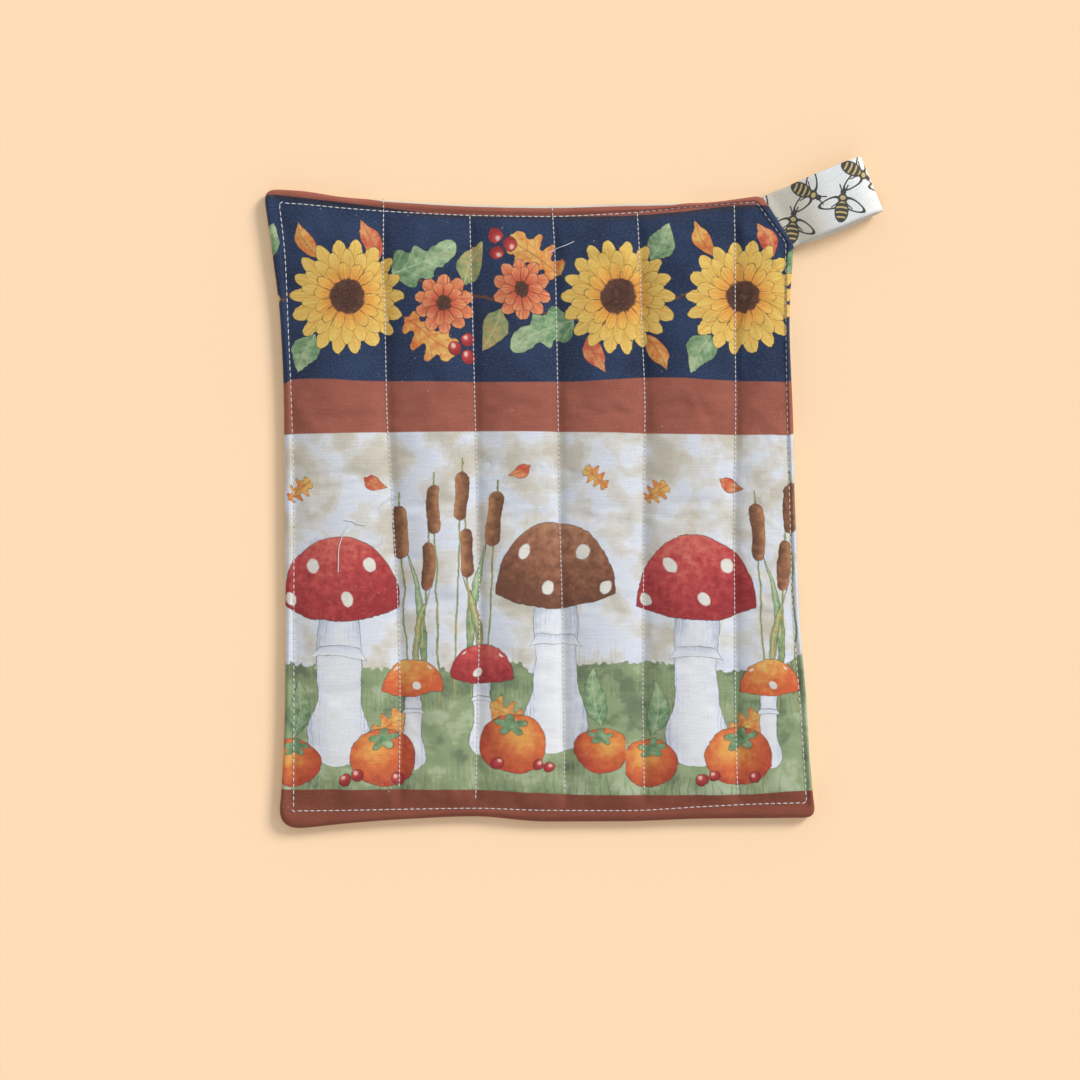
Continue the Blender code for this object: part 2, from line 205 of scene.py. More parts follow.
def edgeCorners():
    found = {}
    for name, side, line in (
        ("bottomLeft", "leftEdge", "bottomEdge"),
        ("bottomRight", "rightEdge", "bottomEdge"),
        ("topLeft", "leftEdge", "topEdge"),
    ):
        x, y = 0.0, float(level(line, 0.0))
        for _ in range(pad["passes"]):
            x = float(upright(side, y))
            y = float(level(line, x))
        found[name] = np.array((x, y))
    found["clipHigh"] = np.array(clip["edge"][0])
    found["clipLow"] = np.array(clip["edge"][1])
    return found


corners = edgeCorners()


def edgeSide(side, share):
    first, last = (corners[name] for name in sideEnds[side])
    spot = first + (last - first) * share
    if side in ("left", "right"):
        spot[0] = float(upright(side + "Edge", spot[1]))
    if side in ("bottom", "top"):
        spot[1] = float(level(side + "Edge", spot[0]))
    return spot


def edgePoint(side, share):
    # A point on the edge of the pad, with its corners rounded by a short curve.
    point = edgeSide(side, share)
    corner = sideEnds[side][0 if share < 0.5 else 1]
    rounding = cornerRounding[corner]
    away = np.linalg.norm(point - corners[corner])
    if away >= rounding:
        return point
    turn = 0.5 * (1.0 - away / rounding)
    rounded = corners[corner].copy()
    for other, ends in sideEnds.items():
        if corner in ends:
            heading = unit(edgeSide(other, 0.02 if ends[0] == corner else 0.98) - corners[corner])
            rounded += heading * rounding * (1.0 - turn if other == side else turn) ** 2
    return rounded


def peekAt(side, point):
    # How much of the backing shows past the front there.
    if side not in pad["peekSpans"]:
        return 0.0
    spot = point[0 if side == "top" else 1]
    low, high = pad["peekSpans"][side]
    return pad["peek"] * float(ease((spot - low) / pad["peekRamp"]) * ease((high - spot) / pad["peekRamp"]))


def panelGrid():
    # The columns and rows of a panel, with a column at the start of the clipped corner.
    cells, share = pad["cells"], clip["share"]
    before = round(cells * share)
    beyond = cells - before
    spans = np.concatenate([
        np.arange(5 * cells) / cells,
        5.0 + share * np.arange(before) / before,
        5.0 + share + (1.0 - share) * np.arange(beyond + 1) / beyond,
    ])
    rows = np.linspace(0.0, 1.0, pad["rows"] + 1)
    return *np.meshgrid(spans, rows, indexing="ij"), 5 * cells + before


def shares(values):
    return (values - values[0]) / (values[-1] - values[0])


def rimLoop(x, y, clipColumn):
    # Round the rim stitching anticlockwise: grid place, side and edge point.
    lastColumn, lastRow = x.shape[0] - 1, x.shape[1] - 1
    bottom, left, right = shares(x[:, 0]), shares(y[0]), shares(y[lastColumn])
    top, slant = shares(x[: clipColumn + 1, lastRow]), shares(x[clipColumn:, lastRow])
    places = [(i, 0, "bottom", bottom[i]) for i in range(lastColumn)]
    places += [(lastColumn, j, "right", right[j]) for j in range(lastRow)]
    places += [(i, lastRow, "clip", slant[i - clipColumn]) for i in range(lastColumn, clipColumn, -1)]
    places += [(i, lastRow, "top", top[i]) for i in range(clipColumn, 0, -1)]
    places += [(0, j, "left", left[j]) for j in range(lastRow, 0, -1)]
    return [(i, j, side, edgePoint(side, share)) for i, j, side, share in places]


def rollProfile(front, side, edge, width):
    # From the stitching over the rim to the seam: how far in from the edge, and how high.
    ahead = 1.0 if front else -1.0
    rise = abs((pad["rimTop"] if front else 0.0) - pad["seamHeight"])
    faceZ = pad["frontAtStitch"] if front else pad["backAtStitch"]
    crownZ = pad["seamHeight"] + ahead * rise
    radius = min(pad["rimRadius"], pad["rimMarginShare"] * width)
    shown = peekAt(side, edge)
    turn = math.radians(pad["tuckedUnder"])
    if shown > 0.0:
        upMost = min(math.acos(1.0 - pad["peek"] / radius), math.radians(pad["peekTurnLimit"]))
        turn += (upMost - turn) * shown / pad["peek"]
    if side == "clip" or np.linalg.norm(edge - corners["clipHigh"]) < pad["slotReach"]:
        turn = ahead * math.asin(pad["slotHalf"] / rise)
    profile = []
    for share in (1.0 / 3.0, 2.0 / 3.0):
        profile.append((width + (radius - width) * share, faceZ + (crownZ - faceZ) * float(ease(share))))
    steps = pad["rollSteps"]
    for step in range(steps + 1):
        angle = ahead * 0.5 * math.pi + (turn - ahead * 0.5 * math.pi) * step / steps
        profile.append((radius * (1.0 - math.cos(angle)), pad["seamHeight"] + rise * math.sin(angle)))
    inset, height = profile[-1]
    profile.append((inset + pad["seamTurnIn"], height + ahead * pad["seamSpread"]))
    return profile


def put(name, data):
    piece = bpy.data.objects.new(name, data)
    bpy.context.scene.collection.objects.link(piece)
    return piece


def finished(piece):
    # The mesh of a piece as its modifiers leave it.
    graph = bpy.context.evaluated_depsgraph_get()
    return bpy.data.meshes.new_from_object(piece.evaluated_get(graph))


def clothPiece(name, points, faces, flat):
    # A piece of cloth in millimetres, with each point's place on the flat cloth in its own map.
    mesh = bpy.data.meshes.new(name)
    mesh.from_pydata([tuple(p) for p in np.array(points) * mm], [], [tuple(int(v) for v in f) for f in faces])
    mesh.shade_smooth()
    cloth = mesh.uv_layers.new(name="cloth")
    corner = np.zeros(len(mesh.loops), int)
    mesh.loops.foreach_get("vertex_index", corner)
    cloth.uv.foreach_set("vector", np.array(flat)[corner].astype(np.float32).ravel())
    return put(name, mesh)


def panelPiece(name, front):
    # The outside of a panel: its quilted face, its rolled rim and the cloth turned in at the seam.
    span, up, clipColumn = panelGrid()
    x, y, _ = planPoint(span, up)
    z = frontHeight(span, up) if front else backHeight(span, up)
    lastColumn, lastRow = x.shape[0] - 1, x.shape[1] - 1
    number = np.arange(x.size).reshape(x.shape)
    points = list(np.stack([x.ravel(), y.ravel(), z.ravel()], 1))
    flat = list(np.stack([x.ravel(), y.ravel()], 1))  # where each point lies on the flat cloth
    onLine = (abs(span - np.round(span)) < 1e-6) | (up < 1e-6) | (up > 1.0 - 1e-6)
    held = list(np.flatnonzero(onLine.ravel()))
    faces = []
    for i in range(lastColumn):
        for j in range(lastRow):
            faces.append((number[i, j], number[i + 1, j], number[i + 1, j + 1], number[i, j + 1]))

    def add(place, height, spread):
        points.append(np.array((place[0], place[1], height)))
        flat.append(spread)
        held.append(len(points) - 1)
        return len(points) - 1

    ahead = 1.0 if front else -1.0
    rings = []
    for i, j, side, edge in rimLoop(x, y, clipColumn):
        stitch = np.array((x[i, j], y[i, j]))
        width = float(np.linalg.norm(stitch - edge))
        inward = (stitch - edge) / width
        ring, last, out = [number[i, j]], (width, z[i, j]), 0.0
        for inset, height in rollProfile(front, side, edge, width):
            out += math.hypot(inset - last[0], height - last[1])
            last = (inset, height)
            ring.append(add(edge + inward * inset, height, stitch - inward * out))
        innerHeight = pad["seamHeight"] + ahead * 0.5 * pad["seamGap"]
        ring.append(add(stitch, innerHeight, stitch - inward * (out + width)))
        rings.append(ring)
    for here, there in zip(rings, rings[1:] + rings[:1]):
        for step in range(len(here) - 1):
            faces.append((here[step], here[step + 1], there[step + 1], there[step]))
    if not front:
        faces = [tuple(reversed(face)) for face in faces]

    piece = clothPiece(name, points, faces, flat)
    piece.vertex_groups.new(name="held").add([int(v) for v in held], 1.0, "REPLACE")
    return piece


# Settling the cloth: the filling pushes it out, the stitching holds it.

filling = {
    "frames": 20,
    "cloth": {
        "quality": 6,
        "mass": 0.1,
        "tension_stiffness": 12.0,
        "compression_stiffness": 12.0,
        "shear_stiffness": 6.0,
        "bending_stiffness": 0.06,
        "use_pressure": True,
        "uniform_pressure_force": 2.0,
        "shrink_min": -0.014,  # below 0 the cloth is wider than the space between its lines
        "vertex_group_mass": "held",
    },
    "frontMove": 1.1,  # the furthest a point of the front may move
    "backMove": 0.35,
}
pull = {
    "depth": 0.75,  # how much steeper the cloth dips along a quilting line
    "reach": 1.9,
    "between": 0.35,  # rise between the lines, as a share of the depth
    "ends": 7.0,
    "fade": 1.3,  # the folds fade towards their ends
    "faceDepth": 0.5,  # how far below the stitching the face still counts
    "creases": (  # from, to, height and half width of the soft folds in the print
        ((23.0, 44.0), (34.0, 36.0), -0.30, 1.6),
        ((26.0, 46.0), (38.0, 37.0), 0.22, 1.8),
        ((56.0, 48.0), (63.5, 30.0), 0.26, 1.7),
        ((59.5, 48.0), (67.0, 31.0), -0.26, 1.7),
        ((6.0, 49.0), (16.0, 36.0), 0.16, 2.0),
        ((-28.0, 46.0), (-14.0, 33.0), -0.14, 2.2),
        ((24.0, 30.0), (36.0, 12.0), 0.18, 2.2),
        ((40.0, 27.0), (47.0, -4.0), -0.16, 2.4),
        ((60.0, 26.0), (70.0, 10.0), 0.16, 2.0),
        ((-84.0, 24.0), (-68.0, 8.0), 0.14, 2.4),
        ((-20.0, -8.0), (-2.0, -24.0), 0.14, 2.4),
        ((30.0, -66.0), (44.0, -88.0), 0.16, 2.4),
        ((-52.0, -92.0), (-38.0, -78.0), 0.14, 2.4),
        ((52.0, 108.0), (64.0, 92.0), 0.14, 2.2),
    ),
}


def readPoints(mesh):
    points = np.zeros(len(mesh.vertices) * 3)
    mesh.vertices.foreach_get("co", points)
    return points.reshape(-1, 3)


def writePoints(mesh, points):
    mesh.vertices.foreach_set("co", points.ravel())
    mesh.update()


def settle(piece, furthest):
    before = readPoints(piece.data)
    cloth = piece.modifiers.new("settle", "CLOTH")
    for setting, value in filling["cloth"].items():
        setattr(cloth.settings, setting, value)
    cloth.settings.effector_weights.gravity = 0.0
    cloth.point_cache.frame_start = 1
    cloth.point_cache.frame_end = filling["frames"]
    scene = bpy.context.scene
    for now in range(1, filling["frames"] + 1):
        scene.frame_set(now)
    graph = bpy.context.evaluated_depsgraph_get()
    after = readPoints(piece.evaluated_get(graph).data)
    piece.modifiers.remove(cloth)
    scene.frame_set(1)
    move = after - before
    length = np.linalg.norm(move, axis=1)
    print("  settled by up to %.2f mm, mean %.2f" % (length.max() / mm, length.mean() / mm))
    soft = np.tanh(length / furthest) * furthest / np.maximum(length, 1e-9)
    writePoints(piece.data, before + move * soft[:, None])


def closeSeam(piece, front):
    # The side that faces the other panel, which the seam hides.
    shape = bmesh.new()
    shape.from_mesh(piece.data)
    rim = [edge for edge in shape.edges if edge.is_boundary]
    filled = bmesh.ops.triangle_fill(shape, use_beauty=False, use_dissolve=False, edges=rim)
    added = [face for face in filled["geom"] if isinstance(face, bmesh.types.BMFace)]
    for face in added:
        if (face.normal.z > 0.0) == front:
            face.normal_flip()
    shape.to_mesh(piece.data)
    shape.free()


def smoothOnce(piece):
    fine = piece.modifiers.new("fine", "SUBSURF")
    fine.levels = fine.render_levels = 1
    mesh = finished(piece)
    piece.modifiers.remove(fine)
    piece.data = mesh
    piece.vertex_groups.clear()


def pullIn(piece):
    # The thread draws the cloth in along the quilting lines, and soft folds run between them.
    points = readPoints(piece.data)
    x, y, z = (points / mm).T
    indoors = np.ones(len(x))
    for inset in (y - level("bottomStitch", x), topStitch(x) - y,
                  x - upright("leftStitch", y), upright("rightStitch", y) - x):
        indoors *= ease(inset / pull["ends"])
    rise = np.full(len(x), pull["between"] * pull["depth"])
    for number in range(1, 6):
        away = (x - upright("line%d" % number, y)) / pull["reach"]
        rise -= pull["depth"] * np.exp(-away * away)
    for start, end, height, half in pull["creases"]:
        start, end = np.array(start), np.array(end)
        heading = unit(end - start)
        along = (x - start[0]) * heading[0] + (y - start[1]) * heading[1]
        aside = (y - start[1]) * heading[0] - (x - start[0]) * heading[1]
        middle = 2.0 * along / np.linalg.norm(end - start) - 1.0
        rise += height * np.exp(-((aside / half) ** 2)) * ease(pull["fade"] - np.abs(middle))
    points[:, 2] += rise * indoors * (z > pad["frontAtStitch"] - pull["faceDepth"]) * mm
    writePoints(piece.data, points)


def makePanel(name, front, furthest):
    piece = panelPiece(name, front)
    settle(piece, furthest * mm)
    points = readPoints(piece.data)
    points[:, 2] = np.maximum(points[:, 2], 0.0)  # nothing goes through the table
    writePoints(piece.data, points)
    smoothOnce(piece)
    if front:
        pullIn(piece)
    closeSeam(piece, front)
    print(name, "made,", len(piece.data.polygons), "faces")
    return piece


frontCloth = makePanel("frontCloth", True, filling["frontMove"])
backCloth = makePanel("backCloth", False, filling["backMove"])


# The ribbon loop: out of the seam over the top, round the fold and back along the table.

ribbon = {
    "width": 22.5,
    "thickness": 0.45,
    "heading": 22.6,  # degrees up from the pad's right
    "tuck": 0.9,
    "squaresUp": 14.0,  # reach at which it is square to its own heading
    "stepsPerRow": 6,
    "cells": 16,
    "cupping": 0.25,  # how far its edges curl
    "cupTurn": 0.9,
    "cupLevel": 0.4,
    "reach": (0.0, 3.0, 8.0, 15.0, 23.0, 31.0, 36.6, 39.0, 36.8, 32.0, 23.0, 13.0, 8.0, 3.0, 0.0),
    "height": (2.75, 2.95, 4.6, 6.9, 8.3, 8.4, 7.0, 4.2, 1.5, 0.4, 0.3, 0.3, 0.5, 1.3, 1.7),
    "lean": (0.2, 0.3, 0.2, 0.4, 0.4, 0.4, 0.2, 0.0, -0.3, -0.5, -0.8, -0.6, -0.2, 0.2, 0.2),
}


def makeRibbon():
    turn = math.radians(ribbon["heading"])
    heading = np.array((math.cos(turn), math.sin(turn)))
    across = np.array((-heading[1], heading[0]))
    high, low = corners["clipHigh"], corners["clipLow"]
    alongClip = unit(high - low)
    outward = np.array((alongClip[1], -alongClip[0]))
    root = 0.5 * (high + low) - heading * ribbon["tuck"] / heading.dot(outward)
    rows = np.arange(len(ribbon["reach"]))
    steps = (len(rows) - 1) * ribbon["stepsPerRow"]
    walk = np.linspace(0.0, rows[-1], steps + 1)
    reach, height, lean = (readSmooth(rows, ribbon[key], walk) for key in ("reach", "height", "lean"))
    walked = np.concatenate([[0.0], np.cumsum(np.hypot(np.diff(reach), np.diff(height)))])
    skew = 1.0 - ease(reach / ribbon["squaresUp"])
    cupping = ribbon["cupping"] * (1.0 - skew) * np.sin(ribbon["cupTurn"] * walk)
    points, flat = [], []
    for k in range(steps + 1):
        for cell in range(ribbon["cells"] + 1):
            share = 2.0 * cell / ribbon["cells"] - 1.0
            aside = 0.5 * share * ribbon["width"]
            slip = aside * alongClip.dot(heading) / alongClip.dot(across) * skew[k]
            spot = root + heading * (reach[k] + slip) + across * (aside + lean[k])
            lift = cupping[k] * (share * share - ribbon["cupLevel"])
            points.append((spot[0], spot[1], max(height[k] + lift, 0.5 * ribbon["thickness"])))
            flat.append((walked[k] + slip, aside))
    faces = []
    for k in range(steps):
        for cell in range(ribbon["cells"]):
            a = k * (ribbon["cells"] + 1) + cell
            faces.append((a, a + ribbon["cells"] + 1, a + ribbon["cells"] + 2, a + 1))
    piece = clothPiece("ribbonLoop", points, faces, flat)
    body = piece.modifiers.new("thickness", "SOLIDIFY")
    body.thickness = ribbon["thickness"] * mm
    body.offset = 0.0
    body.material_offset = 1  # its wrong side isn't printed
    print("ribbon made,", round(float(walked[-1]), 1), "mm of it in sight")
    return piece, float(walked[-1])


ribbonLoop, ribbonLength = makeRibbon()


# Wires: each carries a number, a place, a colour or a shape from node to node.

class Wire:
    def __init__(self, tree, socket):
        self.tree, self.socket = tree, socket

    def __add__(self, other):
        return calc("ADD", self, other)

    def __sub__(self, other):
        return calc("SUBTRACT", self, other)

    def __rsub__(self, other):
        return calc("SUBTRACT", other, self)

    def __mul__(self, other):
        return calc("MULTIPLY", self, other)

    def __truediv__(self, other):
        return calc("DIVIDE", self, other)

    def __abs__(self):
        return calc("ABSOLUTE", self)


def node(tree, kind, values, output=0, **settings):
    made = tree.nodes.new(kind)
    for key, setting in settings.items():
        setattr(made, key, setting)
    for key, value in values.items():
        socket = made.inputs[key]
        if isinstance(value, Wire):
            tree.links.new(value.socket, socket)
        elif socket.type == "RGBA":
            socket.default_value = (*value, 1.0)
        else:
            socket.default_value = value
    return Wire(tree, made.outputs[output])


def calc(operation, *values):
    tree = [value.tree for value in values if isinstance(value, Wire)][0]
    return node(tree, "ShaderNodeMath", dict(enumerate(values)), operation=operation)


def most(first, second):
    return calc("MAXIMUM", first, second)


def least(first, second):
    return calc("MINIMUM", first, second)


def fold(value, width):
    return calc("PINGPONG", value, width)


def scaled(value, by, shift):
    return calc("MULTIPLY_ADD", value, by, shift)


def spotAt(x, y, layer=0.0):
    return node(x.tree, "ShaderNodeCombineXYZ", {"X": x, "Y": y, "Z": layer})


def split(spot):
    made = node(spot.tree, "ShaderNodeSeparateXYZ", {"Vector": spot})
    return made, Wire(spot.tree, made.socket.node.outputs[1])


def local(spot, at, turn=0.0, size=(1.0, 1.0)):
    # The same place seen from a motif: its middle, its turn in degrees and its size.
    x, y = spot
    if turn == 0.0:
        return tuple(scaled(w, 1.0 / size[k], -at[k] / size[k]) for k, w in enumerate((x, y)))
    c, s = math.cos(math.radians(turn)), math.sin(math.radians(turn))
    along = scaled(y, s / size[0], -(at[0] * c + at[1] * s) / size[0])
    aside = scaled(x, -s / size[1], (at[0] * s - at[1] * c) / size[1])
    return scaled(x, c / size[0], along), scaled(y, c / size[1], aside)


def reachOf(x, y):
    return calc("SQRT", scaled(x, x, y * y))


def inside(depth, at=0.0, soft=0.14, full=1.0):
    # Full where the depth is below a limit, with an edge as soft as ink on cotton.
    return node(depth.tree, "ShaderNodeMapRange", {
        "Value": depth, "From Min": at + soft, "From Max": at - soft, "To Min": 0.0, "To Max": full,
    }, interpolation_type="SMOOTHSTEP", clamp=False)


def line(depth, half, full=1.0):
    return inside(abs(depth), half, 0.12, full)


def cloud(spot, scale, detail=2.0, rough=0.5):
    return node(spot.tree, "ShaderNodeTexNoise", {
        "Vector": spot, "Scale": scale, "Detail": detail, "Roughness": rough,
    })


def curveOf(value, points):
    made = value.tree.nodes.new("ShaderNodeFloatCurve")
    curve = made.mapping.curves[0]
    curve.points[0].location = points[0]
    curve.points[1].location = points[-1]
    for point in points[1:-1]:
        curve.points.new(*point)
    made.mapping.extend = "HORIZONTAL"
    made.mapping.update()
    value.tree.links.new(value.socket, made.inputs["Value"])
    return Wire(value.tree, made.outputs[0])


def ramp(value, stops):
    # The stops are given as they are or by the name of a dye.
    stops = dyes[stops] if isinstance(stops, str) else stops
    made = value.tree.nodes.new("ShaderNodeValToRGB")
    elements = made.color_ramp.elements
    while len(elements) < len(stops):
        elements.new(0.5)
    for element, (at, colour) in zip(elements, stops):
        element.position = at
        element.color = (*colour, 1.0)
    value.tree.links.new(value.socket, made.inputs[0])
    return Wire(value.tree, made.outputs[0])


def paint(paper, colour, mask):
    # The colour is a wire or the name of a plain dye.
    colour = dyes[colour] if isinstance(colour, str) else colour
    return node(paper.tree, "ShaderNodeMix", {0: mask, 6: paper, 7: colour}, output=2, data_type="RGBA")


# Stitching: thread laid along the lines of a panel, one short loop to each stitch.

sewing = {
    "radius": 0.19,
    "rise": 0.26,  # how far the middle of a stitch stands above its ends
    "dip": 0.6,  # how far its ends go down, as a share of the rise
    "taper": (0.45, 1.0, 0.35),  # width at the ends, in the middle, and how soon it is full
    "sunk": 0.4,  # how far a thread stands out of the cloth, as a share of its radius
    "sides": 6,
    "quilt": (1.8, 1.45, 3),  # pitch, length and seed
    "rim": (2.4, 1.8, 7),
    "unevenTurn": 5.0,  # degrees
    # radius of the dark disc of painted shade at each needle hole
    "holeRadius": 0.17,
    "lineEnds": (-104.6, -109.0, -106.8, -107.1, -107.1),  # lowest point of each quilting line
    "overTheRim": (0, 2),  # the quilting lines that start at the very edge
    "lineTop": 125.0,
    "underRim": 0.6,  # how far below the rim's stitching the others start
    "nearTop": 115.0,  # height at which the stitching's top end is read
    "clear": 30.0,  # well away from the cloth
    "sampling": 0.8,
    "tailRadius": 0.16,
    "tailLift": 0.15,
    "tailSteps": 24,
    "tails": (
        ((3.3, 99.8), (6.5, 101.6), (10.2, 102.9), (13.1, 104.2)),
        ((-75.1, -2.7), (-72.0, -3.2), (-69.4, -4.4), (-67.0, -4.6)),
        ((-73.2, -4.6), (-76.0, -9.5), (-77.3, -15.5), (-77.4, -22.7)),
    ),
}


def surfaceOf(piece):
    mesh = piece.data
    return BVHTree.FromPolygons([v.co for v in mesh.vertices], [p.vertices[:] for p in mesh.polygons])


def onSurface(surface, x, y, front):
    outward = 1.0 if front else -1.0
    start = Vector((x * mm, y * mm, sewing["clear"] * mm * outward))
    hit = surface.ray_cast(start, Vector((0.0, 0.0, -outward)))[0]
    return hit and (hit.x, hit.y, hit.z + outward * sewing["sunk"] * sewing["radius"] * mm)


def quiltLines(surface, front):
    lines = []
    for number in range(5):
        name = "line%d" % (number + 1)
        top = sewing["lineTop"]
        if number not in sewing["overTheRim"] or not front:
            top = float(level("topStitch", upright(name, sewing["nearTop"]))) - sewing["underRim"]
        ys = np.arange(sewing["lineEnds"][number], top, sewing["sampling"])
        spots = [onSurface(surface, float(upright(name, y)), y, front) for y in ys]
        lines.append([spot for spot in spots if spot])
    return lines


def rimLines(surface, front):
    span, up, clipColumn = panelGrid()
    x, y, _ = planPoint(span, up)
    loop = [(float(x[i, j]), float(y[i, j])) for i, j, side, edge in rimLoop(x, y, clipColumn)]
    loop.append(loop[0])
    return [[onSurface(surface, px, py, front) for px, py in loop]]


def stitchTree():
    tree = bpy.data.node_groups.new("stitches", "GeometryNodeTree")
    kinds = {"Line": "Geometry", "Seed": "Int", "Thread": "Material", "Dark": "Material"}
    for name in ("Line", "Pitch", "Length", "Radius", "Rise", "Turn", "Hole", "Seed", "Thread", "Dark"):
        kind = "NodeSocket" + kinds.get(name, "Float")
        tree.interface.new_socket(name=name, in_out="INPUT", socket_type=kind)
    tree.interface.new_socket(name="Stitches", in_out="OUTPUT", socket_type="NodeSocketGeometry")
    sockets = tree.nodes.new("NodeGroupInput").outputs
    path, pitch, length, radius, rise, turn, hole, seed, thread, dark = (Wire(tree, s) for s in sockets[:10])

    def vector(**sizes):
        return node(tree, "ShaderNodeCombineXYZ", sizes)

    # The thread of one stitch: a short arc with thinner ends, six-sided.
    dip = rise * -sewing["dip"]
    arc = node(tree, "GeometryNodeCurveQuadraticBezier", {
        "Resolution": 6, "Start": vector(X=length * -0.5, Z=dip), "Middle": vector(Z=rise),
        "End": vector(X=length * 0.5, Z=dip),
    })
    share = node(tree, "GeometryNodeSplineParameter", {}, "Factor")
    atEnds, midway, soon = sewing["taper"]
    taper = node(tree, "ShaderNodeMapRange", {
        "Value": fold(share, 0.5), "From Max": soon, "To Min": atEnds, "To Max": midway,
    }, interpolation_type="SMOOTHSTEP")
    ring = node(tree, "GeometryNodeCurvePrimitiveCircle", {"Resolution": sewing["sides"], "Radius": radius})
    loop = node(tree, "GeometryNodeCurveToMesh", {
        "Curve": node(tree, "GeometryNodeSetCurveRadius", {"Curve": arc, "Radius": taper}),
        "Profile Curve": ring, "Scale": taper, "Fill Caps": True,
    })

    # A dark disc halfway to the next stitch: painted shade where the needle's hole is.
    prick = node(tree, "GeometryNodeMeshCircle", {"Vertices": 8, "Radius": hole}, fill_type="NGON")
    prick = node(tree, "GeometryNodeTransform", {"Geometry": prick, "Translation": vector(X=pitch * 0.5)})

    # Both along the line, the threads a little turned this way and that.
    path = node(tree, "GeometryNodeMeshToCurve", {"Mesh": path})
    path = node(tree, "GeometryNodeResampleCurve", {"Curve": path, "Length": pitch}, mode="LENGTH")
    tangent = node(tree, "GeometryNodeInputTangent", {})
    lined = node(tree, "FunctionNodeAlignRotationToVector", {"Vector": tangent}, axis="X")
    luck = node(tree, "FunctionNodeRandomValue", {2: turn * -1.0, 3: turn, "Seed": seed}, 1)
    askew = node(tree, "FunctionNodeEulerToRotation", {0: vector(Z=luck)})
    turned = node(tree, "FunctionNodeRotateRotation", {0: lined, 1: askew}, rotation_space="LOCAL")
    both = tree.nodes.new("GeometryNodeJoinGeometry")
    for shape, rotation, material in ((loop, turned, thread), (prick, lined, dark)):
        made = node(tree, "GeometryNodeInstanceOnPoints", {
            "Points": path, "Instance": shape, "Rotation": rotation,
        })
        made = node(tree, "GeometryNodeRealizeInstances", {0: made})
        made = node(tree, "GeometryNodeSetMaterial", {"Geometry": made, "Material": material})
        tree.links.new(made.socket, both.inputs[0])
    tree.links.new(both.outputs[0], tree.nodes.new("NodeGroupOutput").inputs["Stitches"])
    return tree


def linesMesh(name, lines):
    points, pairs = [], []
    for spots in lines:
        closed = spots[0] == spots[-1]
        first = len(points)
        points += spots[:-1] if closed else spots
        last = len(points) - 1
        pairs += [(k, k + 1) for k in range(first, last)]
        if closed:
            pairs.append((last, first))
    mesh = bpy.data.meshes.new(name)
    mesh.from_pydata(points, pairs, [])
    return put(name, mesh)


def sew(name, tree, lines, pitch, length, seed, front, thread, dark):
    piece = linesMesh(name, lines)
    maker = piece.modifiers.new("stitches", "NODES")
    maker.node_group = tree
    values = {
        "Pitch": pitch * mm,
        "Length": length * mm,
        "Radius": sewing["radius"] * mm,
        "Rise": sewing["rise"] * mm * (1.0 if front else -1.0),
        "Turn": math.radians(sewing["unevenTurn"]),
        # the radius and the material of the dark discs of painted shade at the needle holes
        "Hole": sewing["holeRadius"] * mm,
        "Seed": seed,
        "Thread": thread,
        "Dark": dark,
    }
    for item in tree.interface.items_tree:
        if item.item_type == "SOCKET" and item.in_out == "INPUT" and item.name in values:
            maker[item.identifier] = values[item.name]
    mesh = finished(piece)
    piece.modifiers.remove(maker)
    piece.data = mesh
    mesh.shade_smooth()
    print(name, "sewn,", len(mesh.polygons), "faces")
    return piece


def threadTails(surface, thread):
    curve = bpy.data.curves.new("threadEnds", "CURVE")
    curve.dimensions = "3D"
    curve.bevel_depth = sewing["tailRadius"] * mm
    curve.bevel_resolution = 1
    curve.use_fill_caps = True
    for tail in sewing["tails"]:
        walk = np.linspace(0.0, len(tail) - 1.0, sewing["tailSteps"])
        xs, ys = (readSmooth(np.arange(len(tail)), [spot[axis] for spot in tail], walk) for axis in (0, 1))
        spline = curve.splines.new("POLY")
        spline.points.add(len(walk) - 1)
        for k, (x, y) in enumerate(zip(xs, ys)):
            spot = onSurface(surface, float(x), float(y), True)
            spline.points[k].co = (spot[0], spot[1], spot[2] + sewing["tailLift"] * mm, 1.0)
    holder = put("threadEnds", curve)
    mesh = finished(holder)
    bpy.data.objects.remove(holder)
    mesh.materials.clear()
    mesh.materials.append(thread)
    return put("threadEnds", mesh)


# Camera and light.

view = {
    "photoSize": 1080,
    "pixel": 0.385 * mm,  # on the table
    "padMiddle": (540.0, 513.0),  # the pixel over the pad's origin
    "height": 2.0,
    "nearest": 0.05,
}


def makeCamera():
    half = 0.5 * view["photoSize"]
    camera = put("camera", bpy.data.cameras.new("camera"))
    x = (half - view["padMiddle"][0]) * view["pixel"]
    y = -(half - view["padMiddle"][1]) * view["pixel"]
    camera.location = (x, y, view["height"])
    camera.data.sensor_fit = "HORIZONTAL"
    camera.data.angle = 2.0 * math.atan(half * view["pixel"] / view["height"])
    camera.data.clip_start = view["nearest"]
    bpy.context.scene.camera = camera


light = {
    "world": 0.605,
    "key": 2.35,
    "keyElevation": 31.0,
    "keyBearing": 40.0,  # anticlockwise from the pad's right
    "keySoftness": 20.0,
    "floor": (1.0, 0.73, 0.479),
    "floorSize": 8.0,
    "floorDrop": 0.2,
}


def makeLights():
    world = bpy.data.worlds.new("studio")
    bpy.context.scene.world = world
    world.use_nodes = True
    sky = world.node_tree.nodes["Background"].inputs
    sky["Color"].default_value = (1.0, 1.0, 1.0, 1.0)
    sky["Strength"].default_value = light["world"]
    sun = bpy.data.lights.new("key", "SUN")
    sun.energy = light["key"]
    sun.angle = math.radians(light["keySoftness"])
    lamp = put("key", sun)
    up, turn = math.radians(light["keyElevation"]), math.radians(light["keyBearing"])
    towards = Vector((math.cos(up) * math.cos(turn), math.cos(up) * math.sin(turn), math.sin(up)))
    lamp.rotation_euler = towards.to_track_quat("Z", "Y").to_euler()
    bpy.context.scene.view_settings.view_transform = "Standard"


